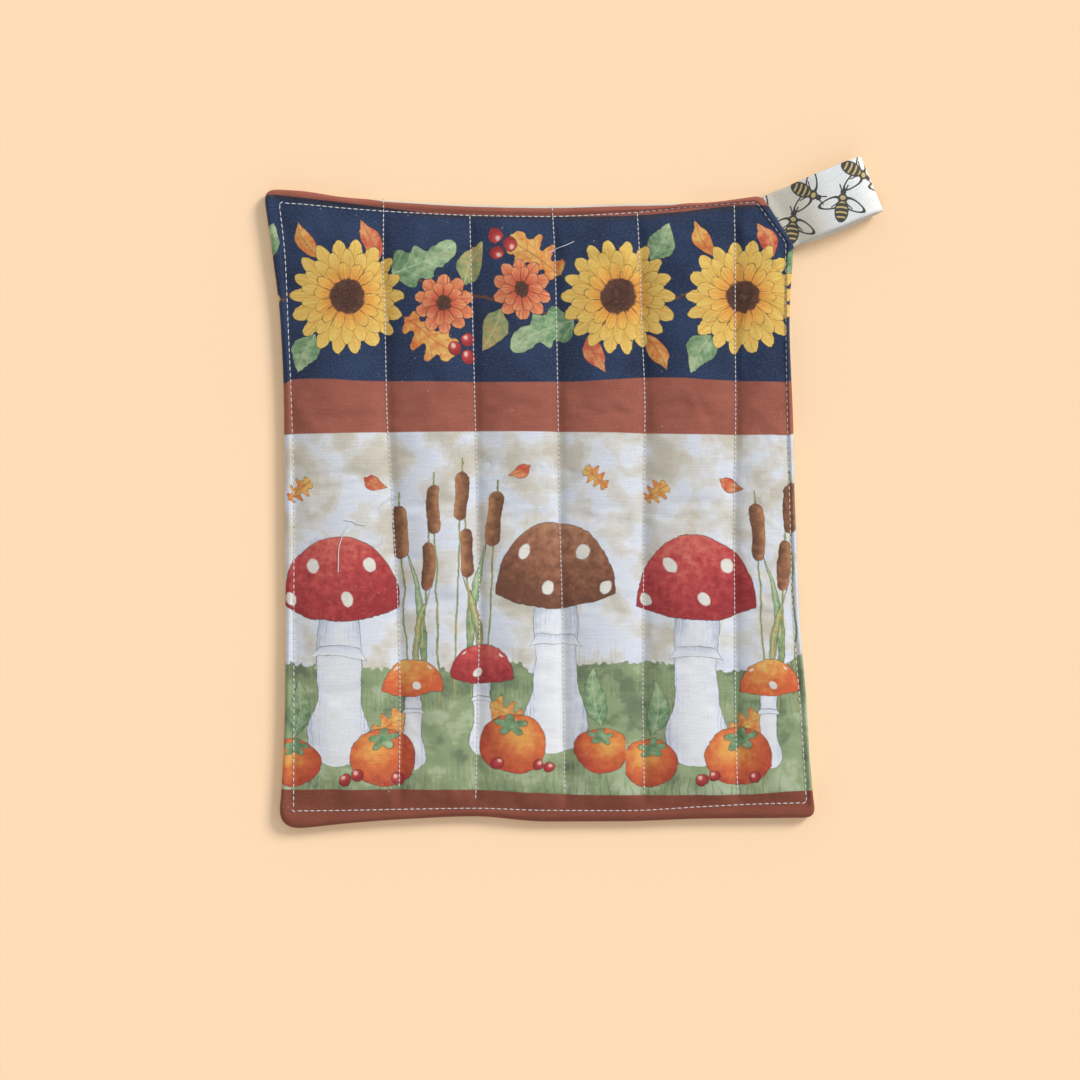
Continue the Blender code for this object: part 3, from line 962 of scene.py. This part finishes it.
def newMaterial(name, rough, specular, sheen=0.0):
    material = bpy.data.materials.new(name)
    material.use_nodes = True
    shader = material.node_tree.nodes["Principled BSDF"]
    values = {"Roughness": rough, "Specular IOR Level": specular, "Sheen Weight": sheen}
    for key, value in values.items():
        shader.inputs[key].default_value = value
    shader.inputs["Sheen Roughness"].default_value = 0.5
    return material


def makeFloor():
    bpy.ops.mesh.primitive_plane_add(size=light["floorSize"], location=(0.0, 0.0, -light["floorDrop"] * mm))
    floor = bpy.context.object
    floor.name = "floor"
    material = newMaterial("floorPaper", 1.0, 0.0)
    material.node_tree.nodes["Principled BSDF"].inputs["Base Color"].default_value = (*light["floor"], 1.0)
    floor.data.materials.append(material)


makeCamera()
makeLights()
makeFloor()


# The printed front: bands of colour with a garland above and woodland below, in millimetres.

dyes = {
    "navy": ((0.3, (0.014, 0.026, 0.064)), (0.7, (0.022, 0.042, 0.1))),
    "rust": ((0.25, (0.277, 0.081, 0.053)), (0.75, (0.347, 0.108, 0.073))),
    "hemRust": ((0.25, (0.19, 0.05, 0.029)), (0.75, (0.24, 0.066, 0.038))),
    "sky": ((0.42, (0.615, 0.65, 0.725)), (0.5, (0.64, 0.652, 0.68)), (0.52, (0.61, 0.605, 0.59)),
            (0.6, (0.59, 0.565, 0.52)), (0.62, (0.555, 0.52, 0.45)), (0.75, (0.52, 0.475, 0.39))),
    "grass": ((0.34, (0.14, 0.185, 0.105)), (0.4, (0.175, 0.225, 0.125)), (0.44, (0.235, 0.3, 0.165)),
              (0.54, (0.27, 0.335, 0.18)), (0.58, (0.34, 0.405, 0.25)), (0.72, (0.4, 0.455, 0.32))),
    "greenLeaf": ((0.15, (0.085, 0.175, 0.08)), (0.5, (0.17, 0.29, 0.15)), (0.9, (0.35, 0.45, 0.26))),
    "oliveLeaf": ((0.15, (0.15, 0.19, 0.075)), (0.5, (0.27, 0.3, 0.13)), (0.9, (0.45, 0.33, 0.12))),
    "orangeLeaf": ((0.15, (0.56, 0.11, 0.04)), (0.5, (0.64, 0.225, 0.06)), (0.9, (0.68, 0.42, 0.12))),
    "redLeaf": ((0.15, (0.38, 0.05, 0.035)), (0.5, (0.54, 0.11, 0.06)), (0.9, (0.65, 0.3, 0.12))),
    "gold": ((0.15, (0.52, 0.19, 0.045)), (0.45, (0.66, 0.38, 0.075)), (0.8, (0.72, 0.52, 0.14))),
    "innerGold": ((0.15, (0.56, 0.16, 0.04)), (0.5, (0.69, 0.33, 0.06)), (0.8, (0.73, 0.48, 0.11))),
    "coral": ((0.15, (0.4, 0.055, 0.035)), (0.5, (0.59, 0.145, 0.065)), (0.85, (0.69, 0.33, 0.15))),
    "heart": ((0.0, (0.15, 0.062, 0.036)), (0.5, (0.06, 0.026, 0.018)), (1.0, (0.1, 0.042, 0.026))),
    "redCap": ((0.1, (0.3, 0.03, 0.035)), (0.5, (0.45, 0.06, 0.06)), (0.9, (0.6, 0.15, 0.11))),
    "brownCap": ((0.1, (0.15, 0.06, 0.035)), (0.5, (0.27, 0.11, 0.06)), (0.9, (0.42, 0.21, 0.12))),
    "stem": ((0.1, (0.43, 0.47, 0.56)), (0.45, (0.64, 0.67, 0.74)), (0.8, (0.7, 0.71, 0.73))),
    "persimmon": ((0.1, (0.7, 0.33, 0.08)), (0.5, (0.59, 0.14, 0.045)), (0.95, (0.42, 0.06, 0.03))),
    "rush": ((0.1, (0.11, 0.045, 0.026)), (0.6, (0.25, 0.11, 0.055)), (0.95, (0.42, 0.2, 0.09))),
    "spots": (0.68, 0.66, 0.6),
    "vein": (0.48, 0.56, 0.36),
    "darkVein": (0.3, 0.07, 0.03),
    "twig": (0.12, 0.05, 0.03),
    "ink": (0.04, 0.028, 0.026),
    "berry": ((0.25, (0.7, 0.42, 0.36)), (0.4, (0.48, 0.06, 0.055)), (1.0, (0.28, 0.025, 0.03))),
    "blade": (0.42, 0.47, 0.27),
    "darkBlade": (0.105, 0.165, 0.085),
    "brush": (0.4, 0.44, 0.48),
    "lint": (0.6, 0.6, 0.62),
    "ribbon": ((0.3, (0.78, 0.815, 0.83)), (0.7, (0.83, 0.845, 0.835))),
    "beige": (0.66, 0.605, 0.5),
    # the painted shade in the grooves between the ribbon's ribs
    "groove": (0.48, 0.47, 0.44),
    "wrongSide": ((0.3, (0.79, 0.755, 0.67)), (0.7, (0.83, 0.8, 0.72))),
    "charcoal": (0.072, 0.07, 0.067),
    "beeStripe": (0.54, 0.43, 0.18),
    "backing": ((0.3, (0.58, 0.55, 0.475)), (0.7, (0.64, 0.61, 0.53))),
}
bandEdges = {  # where the bands of the print change: places across the cloth, and heights there
    "navyTop": ((-102.0, -92.4, -73.0, -53.9, -34.7, -15.4, 13.5, 32.7, 51.0, 71.0, 80.9, 106.0),
                (122.4, 121.3, 119.0, 116.7, 114.7, 114.3, 114.0, 114.3, 115.5, 117.8, 118.4, 118.6)),
    "navyFoot": ((-98.0, -88.6, -69.0, -40.0, 7.7, 27.0, 46.0, 65.0, 84.7, 104.0),
                 (50.0, 51.6, 50.8, 50.4, 50.4, 51.2, 52.0, 51.2, 50.4, 50.2)),
    "skyTop": ((-98.0, -60.0, -20.0, 20.0, 60.0, 98.0), (30.2, 30.9, 31.3, 30.9, 30.1, 29.8)),
    "grassTop": ((-100.0, -60.0, -30.0, -10.0, 0.0, 15.0, 40.0, 72.0, 98.0),
                 (-58.0, -59.5, -60.0, -57.2, -62.0, -58.3, -57.2, -61.0, -54.5)),
    "grassFoot": ((-98.0, -30.0, -2.0, 17.0, 75.0, 94.0, 106.0),
                  (-106.3, -106.3, -107.4, -108.2, -108.2, -107.0, -106.6)),
}
garland = {  # each leaf: foot, turn, length, half width, shape, tones, bend and veins
    "start": -98.0,
    "repeat": 76.0,
    "middle": 83.0,
    "vineSwing": -7.0,
    "vineHalf": 0.55,
    "leaves": (
        ((41.0, 9.0), 24.0, 27.0, 8.5, "ivy", "greenLeaf", 1.5, "vein"),
        ((44.0, -7.0), -36.0, 27.0, 8.8, "oak", "orangeLeaf", 0.0, "darkVein"),
        ((12.0, -14.0), 243.0, 17.0, 6.0, "plain", "greenLeaf", 1.0, "vein"),
        ((13.0, 15.0), 118.0, 17.0, 3.8, "slim", "orangeLeaf", -1.4, "darkVein"),
        ((35.0, 14.0), 112.0, 17.0, 4.2, "slim", "redLeaf", 1.6, "darkVein"),
        ((68.0, 4.0), 62.0, 20.0, 5.5, "plain", "oliveLeaf", -1.2, "vein"),
    ),
    "blooms": (  # middle, radius, turn, rings of petals and size of the heart
        ((61.0, -3.0), 11.5, 20.0, ((1.0, 10, 0.0, "coral"), (0.72, 10, 1.57, "coral")), 0.26),
        ((24.0, 0.0), 22.0, 0.0,
         ((1.0, 18, 0.0, "gold"), (0.82, 18, 1.57, "gold"), (0.6, 14, 0.6, "innerGold")), 0.3),
    ),
    "berries": ((((70.5, -17.0), (65.5, -20.5), (71.0, -23.5)), 2.7),),
}
woodland = {
    "start": -104.0,
    "repeat": 68.5,
    "lower": -5.0,  # how much lower every second clump stands
    "tufts": (  # pitch, foot, height, lean, colour, strength and seed
        (1.7, -76.0, 17.0, 0.9, "darkBlade", 0.5, 0.3),
        (2.3, -108.0, 13.0, 1.0, "blade", 0.5, 0.0),
    ),
    "leaves": (
        ((58.0, -74.0), 97.0, 66.0, 2.0, "slim", "greenLeaf", 5.0, "vein"),
        ((57.0, -74.0), 81.0, 52.0, 1.8, "slim", "oliveLeaf", -4.0, "vein"),
        ((38.0, -85.0), 24.0, 19.0, 6.0, "oak", "orangeLeaf", 0.0, "darkVein"),
        ((9.0, -87.0), 84.0, 24.0, 5.0, "plain", "greenLeaf", 2.0, "vein"),
        ((6.0, 4.0), 38.0, 13.0, 4.6, "oak", "orangeLeaf", 0.0, "darkVein"),
        ((36.0, 14.0), -24.0, 11.0, 3.2, "plain", "redLeaf", 1.2, "darkVein"),
    ),
    "rushes": (  # foot, turn, length, length of the head and its radius
        ((54.0, -76.0), 93.0, 84.0, 21.0, 2.7),
        ((59.0, -76.0), 88.0, 70.0, 18.0, 2.4),
        ((66.0, -76.0), 92.0, 92.0, 19.0, 2.5),
    ),
    "toadstools": (  # foot, height, half width, cap's half width and height, its tones and spots
        ((27.0, -97.0), 62.0, 12.5, 23.0, 27.0, ("redCap", "brownCap"), 6.5),
        ((55.0, -98.0), 31.0, 5.5, 12.0, 12.0, ("orangeLeaf", "redCap"), 5.0),
    ),
    "persimmons": (((43.5, -93.5), 12.0), ((9.5, -96.0), 9.5)),
    "berries": ((((34.0, -101.0), (29.5, -102.5), (49.5, -101.5)), 2.3),),
    "grassInFront": ((3.1, -108.5, 6.5, 1.2, "darkBlade", 0.6, 0.6),),
}
grounds = {  # scale, detail and, where it isn't a half, roughness of the clouds in the print
    "slow": (0.06, 1.0),
    "quick": (0.55, 1.0),
    "wobble": (0.07, 1.0),
    "broken": (0.32, 2.0, 0.6),
    "rust": (0.09, 3.0),
    "sky": (0.075, 3.0),
    "grass": (0.07, 4.0, 0.6),
}
specks = {  # limit, softness and strength
    "pinholes": (-0.58, 0.16, 0.045),
    "lint": (-0.86, 0.02, 0.3),
    "strokes": (-0.69, 0.025, 0.42),
}
leafShapes = {
    "plain": ((0.0, 0.0), (0.12, 0.42), (0.38, 1.0), (0.7, 0.62), (1.0, 0.0)),
    "ivy": ((0.0, 0.0), (0.08, 0.55), (0.22, 0.98), (0.36, 0.7), (0.47, 0.95), (0.6, 0.52),
            (0.72, 0.6), (1.0, 0.0)),
    "oak": ((0.0, 0.0), (0.10, 0.12), (0.20, 0.62), (0.30, 0.30), (0.42, 0.95), (0.53, 0.42), (0.67, 1.0),
            (0.78, 0.50), (0.88, 0.62), (1.0, 0.0)),
    "slim": ((0.0, 0.0), (0.25, 0.85), (0.5, 1.0), (0.8, 0.45), (1.0, 0.0)),
}


def bandEdge(value, name):
    # The height of a band's edge over the width of the cloth, in millimetres.
    places, heights = bandEdges[name]
    reach, low, high = 110.0, min(heights) - 1.0, max(heights) + 1.0
    points = [((x + reach) / (2.0 * reach), (y - low) / (high - low)) for x, y in zip(places, heights)]
    return scaled(curveOf(scaled(value, 0.5 / reach, 0.5), points), high - low, low)


def outlined(paper, depth, broken, half=0.14, full=1.2):
    return paint(paper, "ink", line(depth, half, full) * broken)


def motif(paper, feeds, draw, *details):
    # Each motif gets a small node group of its own, because large trees build slowly.
    inner = bpy.data.node_groups.new(draw.__name__, "ShaderNodeTree")
    entry = inner.nodes.new("NodeGroupInput")
    outer = paper.tree.nodes.new("ShaderNodeGroup")
    wires = []
    for number, wire in enumerate((paper, *feeds)):
        kind = "NodeSocketFloat" if number else "NodeSocketColor"
        inner.interface.new_socket(name="feed" + str(number), in_out="INPUT", socket_type=kind)
        wires.append(Wire(inner, entry.outputs[number]))
    inner.interface.new_socket(name="drawn", in_out="OUTPUT", socket_type="NodeSocketColor")
    drawn = draw(*wires, *details)
    leave = inner.nodes.new("NodeGroupOutput")
    inner.links.new(drawn.socket, leave.inputs[0])
    outer.node_tree = inner
    for number, wire in enumerate((paper, *feeds)):
        paper.tree.links.new(wire.socket, outer.inputs[number])
    return Wire(paper.tree, outer.outputs[0])


def drawAll(paper, feeds, draw, rows):
    for details in rows:
        paper = motif(paper, feeds, draw, *details)
    return paper


def drawLeaf(paper, x, y, broken, at, turn, long, wide, shape, tones, bend, vein):
    along, aside = local((x, y), at, turn)
    share = along / long
    if bend:
        aside = scaled((1.0 - share) * share, 4.0 * bend, aside)
    off = abs(aside)
    depth = off - scaled(curveOf(share, leafShapes[shape]), wide, -0.5)
    body = inside(depth)
    tone = scaled(off, -0.25 / wide, scaled(share, 0.45, broken))
    paper = paint(paper, ramp(tone, tones), body)
    ribs = fold(scaled(off, -6.6 / long, share * 6.0), 0.5)
    veins = least(most(inside(ribs, 0.05, 0.03, 0.4), inside(off, 0.18, 0.12, 0.65)), body)
    paper = paint(paper, vein, veins)
    return outlined(paper, depth, broken, 0.13, 1.3)


def streaksAlong(value):
    return node(value.tree, "ShaderNodeTexNoise", {"W": value, "Scale": 1.0, "Detail": 1.0},
                noise_dimensions="1D")


def drawBloom(paper, x, y, broken, at, radius, turn, rings, heart):
    x, y = local((x, y), at, turn)
    far = reachOf(x, y) / radius
    angle = calc("ARCTAN2", y, x)
    for reach, petals, phase, tones in rings:
        wave = abs(calc("COSINE", scaled(angle, 0.5 * petals, phase)))
        depth = (far - scaled(calc("POWER", wave, 0.55), 0.34 * reach, 0.66 * reach)) * radius
        body = inside(depth)
        streaks = streaksAlong(scaled(angle, 1.3 * petals, 20.0 * phase))
        tone = scaled(far, 0.75 / reach, scaled(streaks, 0.8, -0.4))
        paper = paint(paper, ramp(tone, tones), body)
        gap = wave * far * (1.6 * radius / petals)
        lines = least(least(inside(gap, 0.15), inside(far, 1.2, 0.8)), body)
        paper = paint(paper, "ink", most(lines, line(depth, 0.17)) * scaled(broken, 1.2, 0.05))
    ragged = scaled(broken, 1.6 / radius, far)
    tone = scaled(far, 0.8 / heart, broken) - 0.25
    return paint(paper, ramp(tone, "heart"), inside(ragged, heart + 0.8 / radius, 0.02))


def drawBerries(paper, x, y, places, radius):
    for at in places:
        berryX, berryY = local((x, y), at, 0.0, (radius, radius))
        far = reachOf(berryX, berryY)
        shine = reachOf(berryX + 0.3, berryY - 0.35)
        paper = paint(paper, ramp(shine, "berry"), inside(far, 1.0, 0.07))
        paper = paint(paper, "ink", inside(abs(far - 1.0), 0.05, 0.05, 0.8))
    return paper


def drawToadstool(paper, x, y, broken, odd, foot, tall, stout, cap, domed, capTones, dots):
    x, y = local((x, y), foot)
    off = abs(x)
    share = y / tall
    half = curveOf(share, ((0.0, 0.0), (0.05, 0.75), (0.16, 1.0), (0.4, 0.72), (0.98, 0.62), (1.0, 0.0)))
    depth = off - scaled(half, stout, -0.4)
    fibres = streaksAlong(x * 1.5)
    tone = scaled(off, -0.75 / stout, scaled(fibres, 1.1, broken * 0.45 + 0.2))
    tone = tone - most(share - 0.6, 0.0) * 1.3
    paper = paint(paper, ramp(tone, "stem"), inside(depth))
    paper = outlined(paper, depth, broken)
    drop = scaled(off * off, -0.15 / stout, 0.74 * tall - y)
    skirt = most(scaled(drop, -0.8, off - 0.58 * stout), abs(drop - 0.15 * stout) - 0.15 * stout)
    paper = paint(paper, ramp(scaled(drop, 1.6 / stout, fibres * 0.5), "stem"), inside(skirt))
    paper = outlined(paper, skirt, broken, 0.12)
    cx, cy = local((x, y), (0.0, tall - 1.0), 0.0, (cap, domed))
    far = reachOf(cx, cy)
    rim = scaled(cx * cx, 0.2, -0.2) - cy
    depth = most(far - 1.0, rim) * (0.5 * (cap + domed))
    tone = scaled(cy, 0.55, scaled(broken, 0.8, -0.1)) - abs(cx + 0.15) * 0.3
    colour = paint(ramp(tone, capTones[0]), ramp(tone, capTones[1]), odd)
    paper = paint(paper, colour, inside(depth))
    grid = calc("SINE", scaled(cx, dots, cy * 1.3 + 0.6)) * calc("SINE", scaled(cy, dots, 0.9))
    spots = least(inside(1.0 - grid, 0.20, 0.05), inside(depth, -1.0))
    paper = paint(paper, "spots", spots)
    return outlined(paper, depth, broken, 0.16, 1.25)


def drawPersimmon(paper, x, y, broken, at, radius):
    x, y = local((x, y), at, 0.0, (radius * 1.08, radius * 0.94))
    depth = (reachOf(x, y) - 1.0) * radius
    shade = scaled(broken, 0.5, reachOf(x + 0.25, y - 0.25) * 0.75) - 0.25
    paper = paint(paper, ramp(shade, "persimmon"), inside(depth))
    paper = outlined(paper, depth, broken)
    tx, ty = local((x, y), (0.05, 0.62), 20.0, (0.52, 0.40))
    star = abs(calc("COSINE", calc("ARCTAN2", ty, tx) * 2.5))
    calyx = scaled(star, -0.55, reachOf(tx, ty)) - 0.42
    paper = paint(paper, ramp(broken, "greenLeaf"), inside(calyx, 0.0, 0.05))
    return paint(paper, "ink", inside(abs(calyx), 0.04, 0.04) * broken)


def drawRush(paper, x, y, broken, foot, turn, long, head, radius):
    along, aside = local((x, y), foot, turn)
    off = abs(aside)
    stalk = most(off - 0.38, abs(along - 0.5 * long) - 0.5 * long)
    paper = paint(paper, ramp(broken, "oliveLeaf"), inside(stalk))
    beyond = most(abs(along - (long - 0.5 * head - 5.0)) - (0.5 * head - radius), 0.0)
    depth = reachOf(beyond, aside) - radius
    tone = scaled(aside, -0.35 / radius, scaled(broken, 0.8, 0.15))
    paper = paint(paper, ramp(tone, "rush"), inside(depth))
    return outlined(paper, depth, broken, 0.12, 1.0)


def drawBlades(paper, x, y, pitch, foot, tall, lean, colour, strength, seed):
    # A row of grass blades, one to a pitch, each with its own height and lean.
    cells = x / pitch + seed
    number = calc("FLOOR", cells)
    across = cells - number - 0.5
    luck = node(x.tree, "ShaderNodeTexWhiteNoise", {"W": number}, noise_dimensions="1D")
    share = (y - foot) / scaled(luck, tall, 0.45 * tall)
    bend = (luck - 0.5) * lean
    depth = scaled(share, 0.09, abs(across - bend * share * share))
    mask = least(inside(depth, 0.10, 0.15 / pitch), inside(abs(share - 0.5), 0.5, 0.03))
    return paint(paper, colour, mask * strength)


def repeats(u, plan):
    # The place in a repeat, turned round in every second one, and 1 in those.
    along = u - plan["start"]
    odd = calc("FLOORED_MODULO", calc("FLOOR", along / plan["repeat"]), 2.0)
    return fold(along, plan["repeat"]), odd


def printedCotton():
    material, flat, u, v = clothMaterial("printedCotton")

    def ground(name, layer):
        return cloud(spotAt(u, v, layer), *grounds[name])

    def under(name):
        return inside(v - bandEdge(u, name), 0.0, 0.25)

    slow = cloud(flat, *grounds["slow"])
    quick = cloud(spotAt(v, u, 7.0), *grounds["quick"])
    wobbleU = scaled(slow, 3.6, scaled(quick, 0.9, -2.25))
    wobbleV = scaled(ground("wobble", 19.0), 3.6, scaled(quick, -0.9, -1.35))
    broken = scaled(ground("broken", 31.0), 1.5, -0.25)
    tone = ground("rust", 43.0)
    skyTone = ground("sky", 53.0)

    # Navy band and its garland, which is turned over in every second repeat.
    paper = ramp(slow, "navy")
    x, odd = repeats(u, garland)
    x = x + wobbleU
    y = scaled(v - garland["middle"], scaled(odd, -2.0, 1.0), wobbleV)
    vine = scaled(calc("SINE", x * (math.pi / garland["repeat"])), garland["vineSwing"], y)
    paper = paint(paper, "twig", line(vine, garland["vineHalf"]))
    paper = drawAll(paper, (x, y, broken), drawLeaf, garland["leaves"])
    paper = drawAll(paper, (x, y, broken), drawBloom, garland["blooms"])
    paper = drawAll(paper, (x, y), drawBerries, garland["berries"])

    # Rust, sky and grass.
    belowTop = bandEdge(u, "navyTop") - v
    # A soft dark line along the top edge of the navy band, in the ink dye: painted shade where the cloth
    # turns over the rim.
    paper = paint(paper, "ink", inside(abs(belowTop - 0.5), 1.0, 1.0, 0.6))
    rust = ramp(tone, "rust")
    paper = paint(paper, rust, inside(belowTop, 0.0, 0.25))
    paper = paint(paper, rust, under("navyFoot"))
    paper = paint(paper, ramp(scaled(v, 0.0011, skyTone + 0.03), "sky"), under("skyTop"))
    bentU = scaled(skyTone, 30.0, u)
    slanting = spotAt(scaled(v, 0.05, bentU * 0.055), scaled(v, 0.13, bentU * -0.15), 61.0)
    strokes = inside(0.0 - cloud(slanting, 1.0, 1.0), *specks["strokes"])
    paper = paint(paper, "brush", strokes * inside(abs(v - 2.0), 24.0, 5.0))
    grassTone = scaled(v, -0.0022, ground("grass", 71.0) - 0.19)
    ragged = scaled(quick, -5.0, v - bandEdge(u, "grassTop"))
    paper = paint(paper, ramp(grassTone, "grass"), inside(ragged, -2.5, 0.3))

    # Woodland: one clump, turned round and coloured anew in every second repeat.
    x, odd = repeats(u, woodland)
    x = x + wobbleU
    y = scaled(odd, woodland["lower"], v + wobbleV)
    paper = drawAll(paper, (x, y), drawBlades, woodland["tufts"])
    paper = drawAll(paper, (x, y, broken), drawLeaf, woodland["leaves"])
    paper = drawAll(paper, (x, y, broken), drawRush, woodland["rushes"])
    paper = drawAll(paper, (x, y, broken, odd), drawToadstool, woodland["toadstools"])
    paper = drawAll(paper, (x, y, broken), drawPersimmon, woodland["persimmons"])
    paper = drawAll(paper, (x, y), drawBerries, woodland["berries"])
    paper = drawAll(paper, (x, v), drawBlades, woodland["grassInFront"])
    paper = paint(paper, ramp(tone, "hemRust"), under("grassFoot"))
    pinholes = cloud(spotAt(u * 1.5, v * 1.5, 113.0), 1.0, 1.0)
    paper = paint(paper, "lint", inside(0.0 - pinholes, *specks["pinholes"]))
    lint = cloud(spotAt(u, v, 11.0), 0.8, 0.0)
    paper = paint(paper, "lint", inside(0.0 - lint, *specks["lint"]))
    finishCotton(material, paper, u, v, 1.0)
    return material


cotton = {
    "threadPitch": 0.42,
    "warp": (1.7, 0.2),  # how fast the threads change across and along
    "weft": (0.13, 1.5),
    "flecks": 1.8,
    "weaveDepth": 0.035,
    "relief": 0.8,
    "slub": 0.24,  # how much lighter or darker single threads are
    "fleck": 0.36,
    "grid": 0.11,  # how plainly the crossings of the threads show
    "roughness": 0.92,
    "specular": 0.2,
    "sheen": 0.12,
}


def finishCotton(material, paper, u, v, slubShare):
    # Plain weave: uneven threads both ways, and a fine relief.
    tree = material.node_tree
    shader = tree.nodes["Principled BSDF"]
    warp = cloud(spotAt(u * cotton["warp"][0], v * cotton["warp"][1], 83.0), 1.0, 1.0)
    weft = cloud(spotAt(u * cotton["weft"][0], v * cotton["weft"][1], 89.0), 1.0, 2.0, 0.7)
    flecks = cloud(spotAt(u * cotton["flecks"], v * cotton["flecks"], 97.0), 1.0, 1.0)
    slub = cotton["slub"] * slubShare
    uneven = scaled(flecks, cotton["fleck"], 1.0 - 0.5 * cotton["fleck"] - slub)
    lightness = scaled(scaled(weft, 1.5, warp * 0.5), slub, uneven)
    turn = math.pi / cotton["threadPitch"]
    crossings = calc("SINE", u * turn) * calc("SINE", v * turn)
    lightness = scaled(crossings, cotton["grid"], lightness)
    toned = node(tree, "ShaderNodeHueSaturation", {"Value": lightness, "Color": paper})
    tree.links.new(toned.socket, shader.inputs["Base Color"])
    height = scaled(warp + weft, 1.2, crossings * 0.5)
    bump = node(tree, "ShaderNodeBump", {
        "Height": height, "Strength": cotton["relief"], "Distance": cotton["weaveDepth"] * mm,
    })
    tree.links.new(bump.socket, shader.inputs["Normal"])


def clothMaterial(name):
    material = newMaterial(name, cotton["roughness"], cotton["specular"], cotton["sheen"])
    flat = node(material.node_tree, "ShaderNodeUVMap", {}, uv_map="cloth")
    return material, flat, *split(flat)


def plainCotton(name, dye, patches, detail, slubShare):
    material, flat, u, v = clothMaterial(name)
    finishCotton(material, ramp(cloud(flat, patches, detail), dye), u, v, slubShare)
    return material


bees = {
    "repeat": 21.0,
    "line": 0.3,  # half the width of a drawn line
    "reach": 8.0,  # from its middle
    "beigeRoot": (16.0, 7.0, 0.9),  # how far the ribbon is beige, how softly and how much
    "ribPitch": 0.95,
    "ribDepth": 0.26,
    "places": (((5.2, -3.2), 62.0), ((15.7, 5.6), -47.0)),
}


def drawBee(paper, x, y, at, turn):
    x, y = local((x, y), at, turn)
    off = abs(y)
    wingX, wingY = local((x, off), (-0.6, 4.6), 112.0)
    wing = reachOf(wingX, wingY * scaled(wingX, 0.16, 2.2)) - 4.3
    paper = paint(paper, "charcoal", line(wing, bees["line"] * 2.2))
    feelers = abs(scaled(x - 4.4, -0.42, off - 0.45)) - bees["line"]
    legs = abs(scaled(off - 1.0, 0.8, x - 0.6)) - bees["line"]
    thin = least(most(feelers, abs(x - 5.7) - 1.5), most(legs, abs(off - 2.4) - 1.7))
    paper = paint(paper, "charcoal", inside(thin))
    tail = reachOf((x + 2.9) * (1.0 / 4.3), y * (1.0 / 2.6)) - 1.0
    middle = reachOf(x - 1.9, y) - 1.9
    head = reachOf(x - 4.3, y) - 1.15
    paper = paint(paper, "charcoal", most(inside(tail, 0.05, 0.05), inside(least(middle, head))))
    bands = abs(fold(scaled(y * y, 0.07, x + 6.2), 0.95) - 0.95) - 0.34
    paper = paint(paper, "beeStripe", least(inside(bands, 0.0, 0.1), inside(tail, -0.16, 0.05)))
    return paint(paper, "beeStripe", inside(reachOf(x - 2.2, y * 0.8) - 0.85))


def ribbonWeave():
    material, flat, along, aside = clothMaterial("ribbonWeave")
    paper = ramp(cloud(flat, 0.08, 2.0), "ribbon")
    paper = paint(paper, "beige", inside(along, *bees["beigeRoot"]))
    # Darker stripes between the ribs: painted shade in the grooves of the weave.
    ribs = calc("SINE", along * (math.tau / bees["ribPitch"]))
    paper = paint(paper, "groove", scaled(ribs, 0.5, 0.5) * bees["ribDepth"])
    x = calc("WRAP", along, bees["repeat"], 0.0)
    for at, turn in bees["places"]:
        for whole in (-bees["repeat"], 0.0, bees["repeat"]):
            if -bees["reach"] < at[0] + whole < bees["repeat"] + bees["reach"]:
                paper = motif(paper, (x, aside), drawBee, (at[0] + whole, at[1]), turn)
    finishCotton(material, paper, along, aside, 0.7)
    return material


threads = {
    "colour": (0.84, 0.82, 0.81),
    "tails": (0.80, 0.82, 0.86),
    # colour of the painted shade in the needle holes
    "needleHole": (0.17, 0.14, 0.13),
    "specular": 0.3,
    "fuzz": 2600.0,
    "shade": 0.72,
}


def threadMaterial(name, colour, rough, sheen):
    material = newMaterial(name, rough, threads["specular"], sheen)
    tree = material.node_tree
    fuzz = cloud(node(tree, "ShaderNodeTexCoord", {}, "Object"), threads["fuzz"], 1.0)
    dark = tuple(threads["shade"] * channel for channel in colour)
    twist = ramp(fuzz, ((0.3, dark), (0.7, colour)))
    tree.links.new(twist.socket, tree.nodes["Principled BSDF"].inputs["Base Color"])
    return material


thread = threadMaterial("thread", threads["colour"], 0.7, 0.15)
tailThread = threadMaterial("tailThread", threads["tails"], 0.6, 0.15)
# The dark discs at the needle holes are painted shade.
needleHole = threadMaterial("needleHole", threads["needleHole"], 0.95, 0.0)
frontCloth.data.materials.append(printedCotton())
backCloth.data.materials.append(plainCotton("backingCotton", "backing", 0.05, 3.0, 1.0))
ribbonLoop.data.materials.append(ribbonWeave())
ribbonLoop.data.materials.append(plainCotton("ribbonWrongSide", "wrongSide", 0.08, 2.0, 0.7))
print("print drawn with", len(frontCloth.data.materials[0].node_tree.nodes), "nodes")

frontSurface, backSurface = surfaceOf(frontCloth), surfaceOf(backCloth)
stitches = stitchTree()
sewn = []
for side, surface, front in (("front", frontSurface, True), ("back", backSurface, False)):
    for seam, lines, sizes in (
        ("Quilting", quiltLines(surface, front), sewing["quilt"]),
        ("TopStitching", rimLines(surface, front), sewing["rim"]),
    ):
        sewn.append(sew(side + seam, stitches, lines, *sizes, front, thread, needleHole))
sewn.append(threadTails(frontSurface, tailThread))

for piece, node, slot in (
    (frontCloth, "front_panel", "printed_cotton"),
    (backCloth, "back_panel", "backing_cotton"),
    (ribbonLoop, "hanging_loop", "ribbon_weave"),
):
    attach(piece, "root")
    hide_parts(node)
for piece in sewn:
    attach(piece, "root")
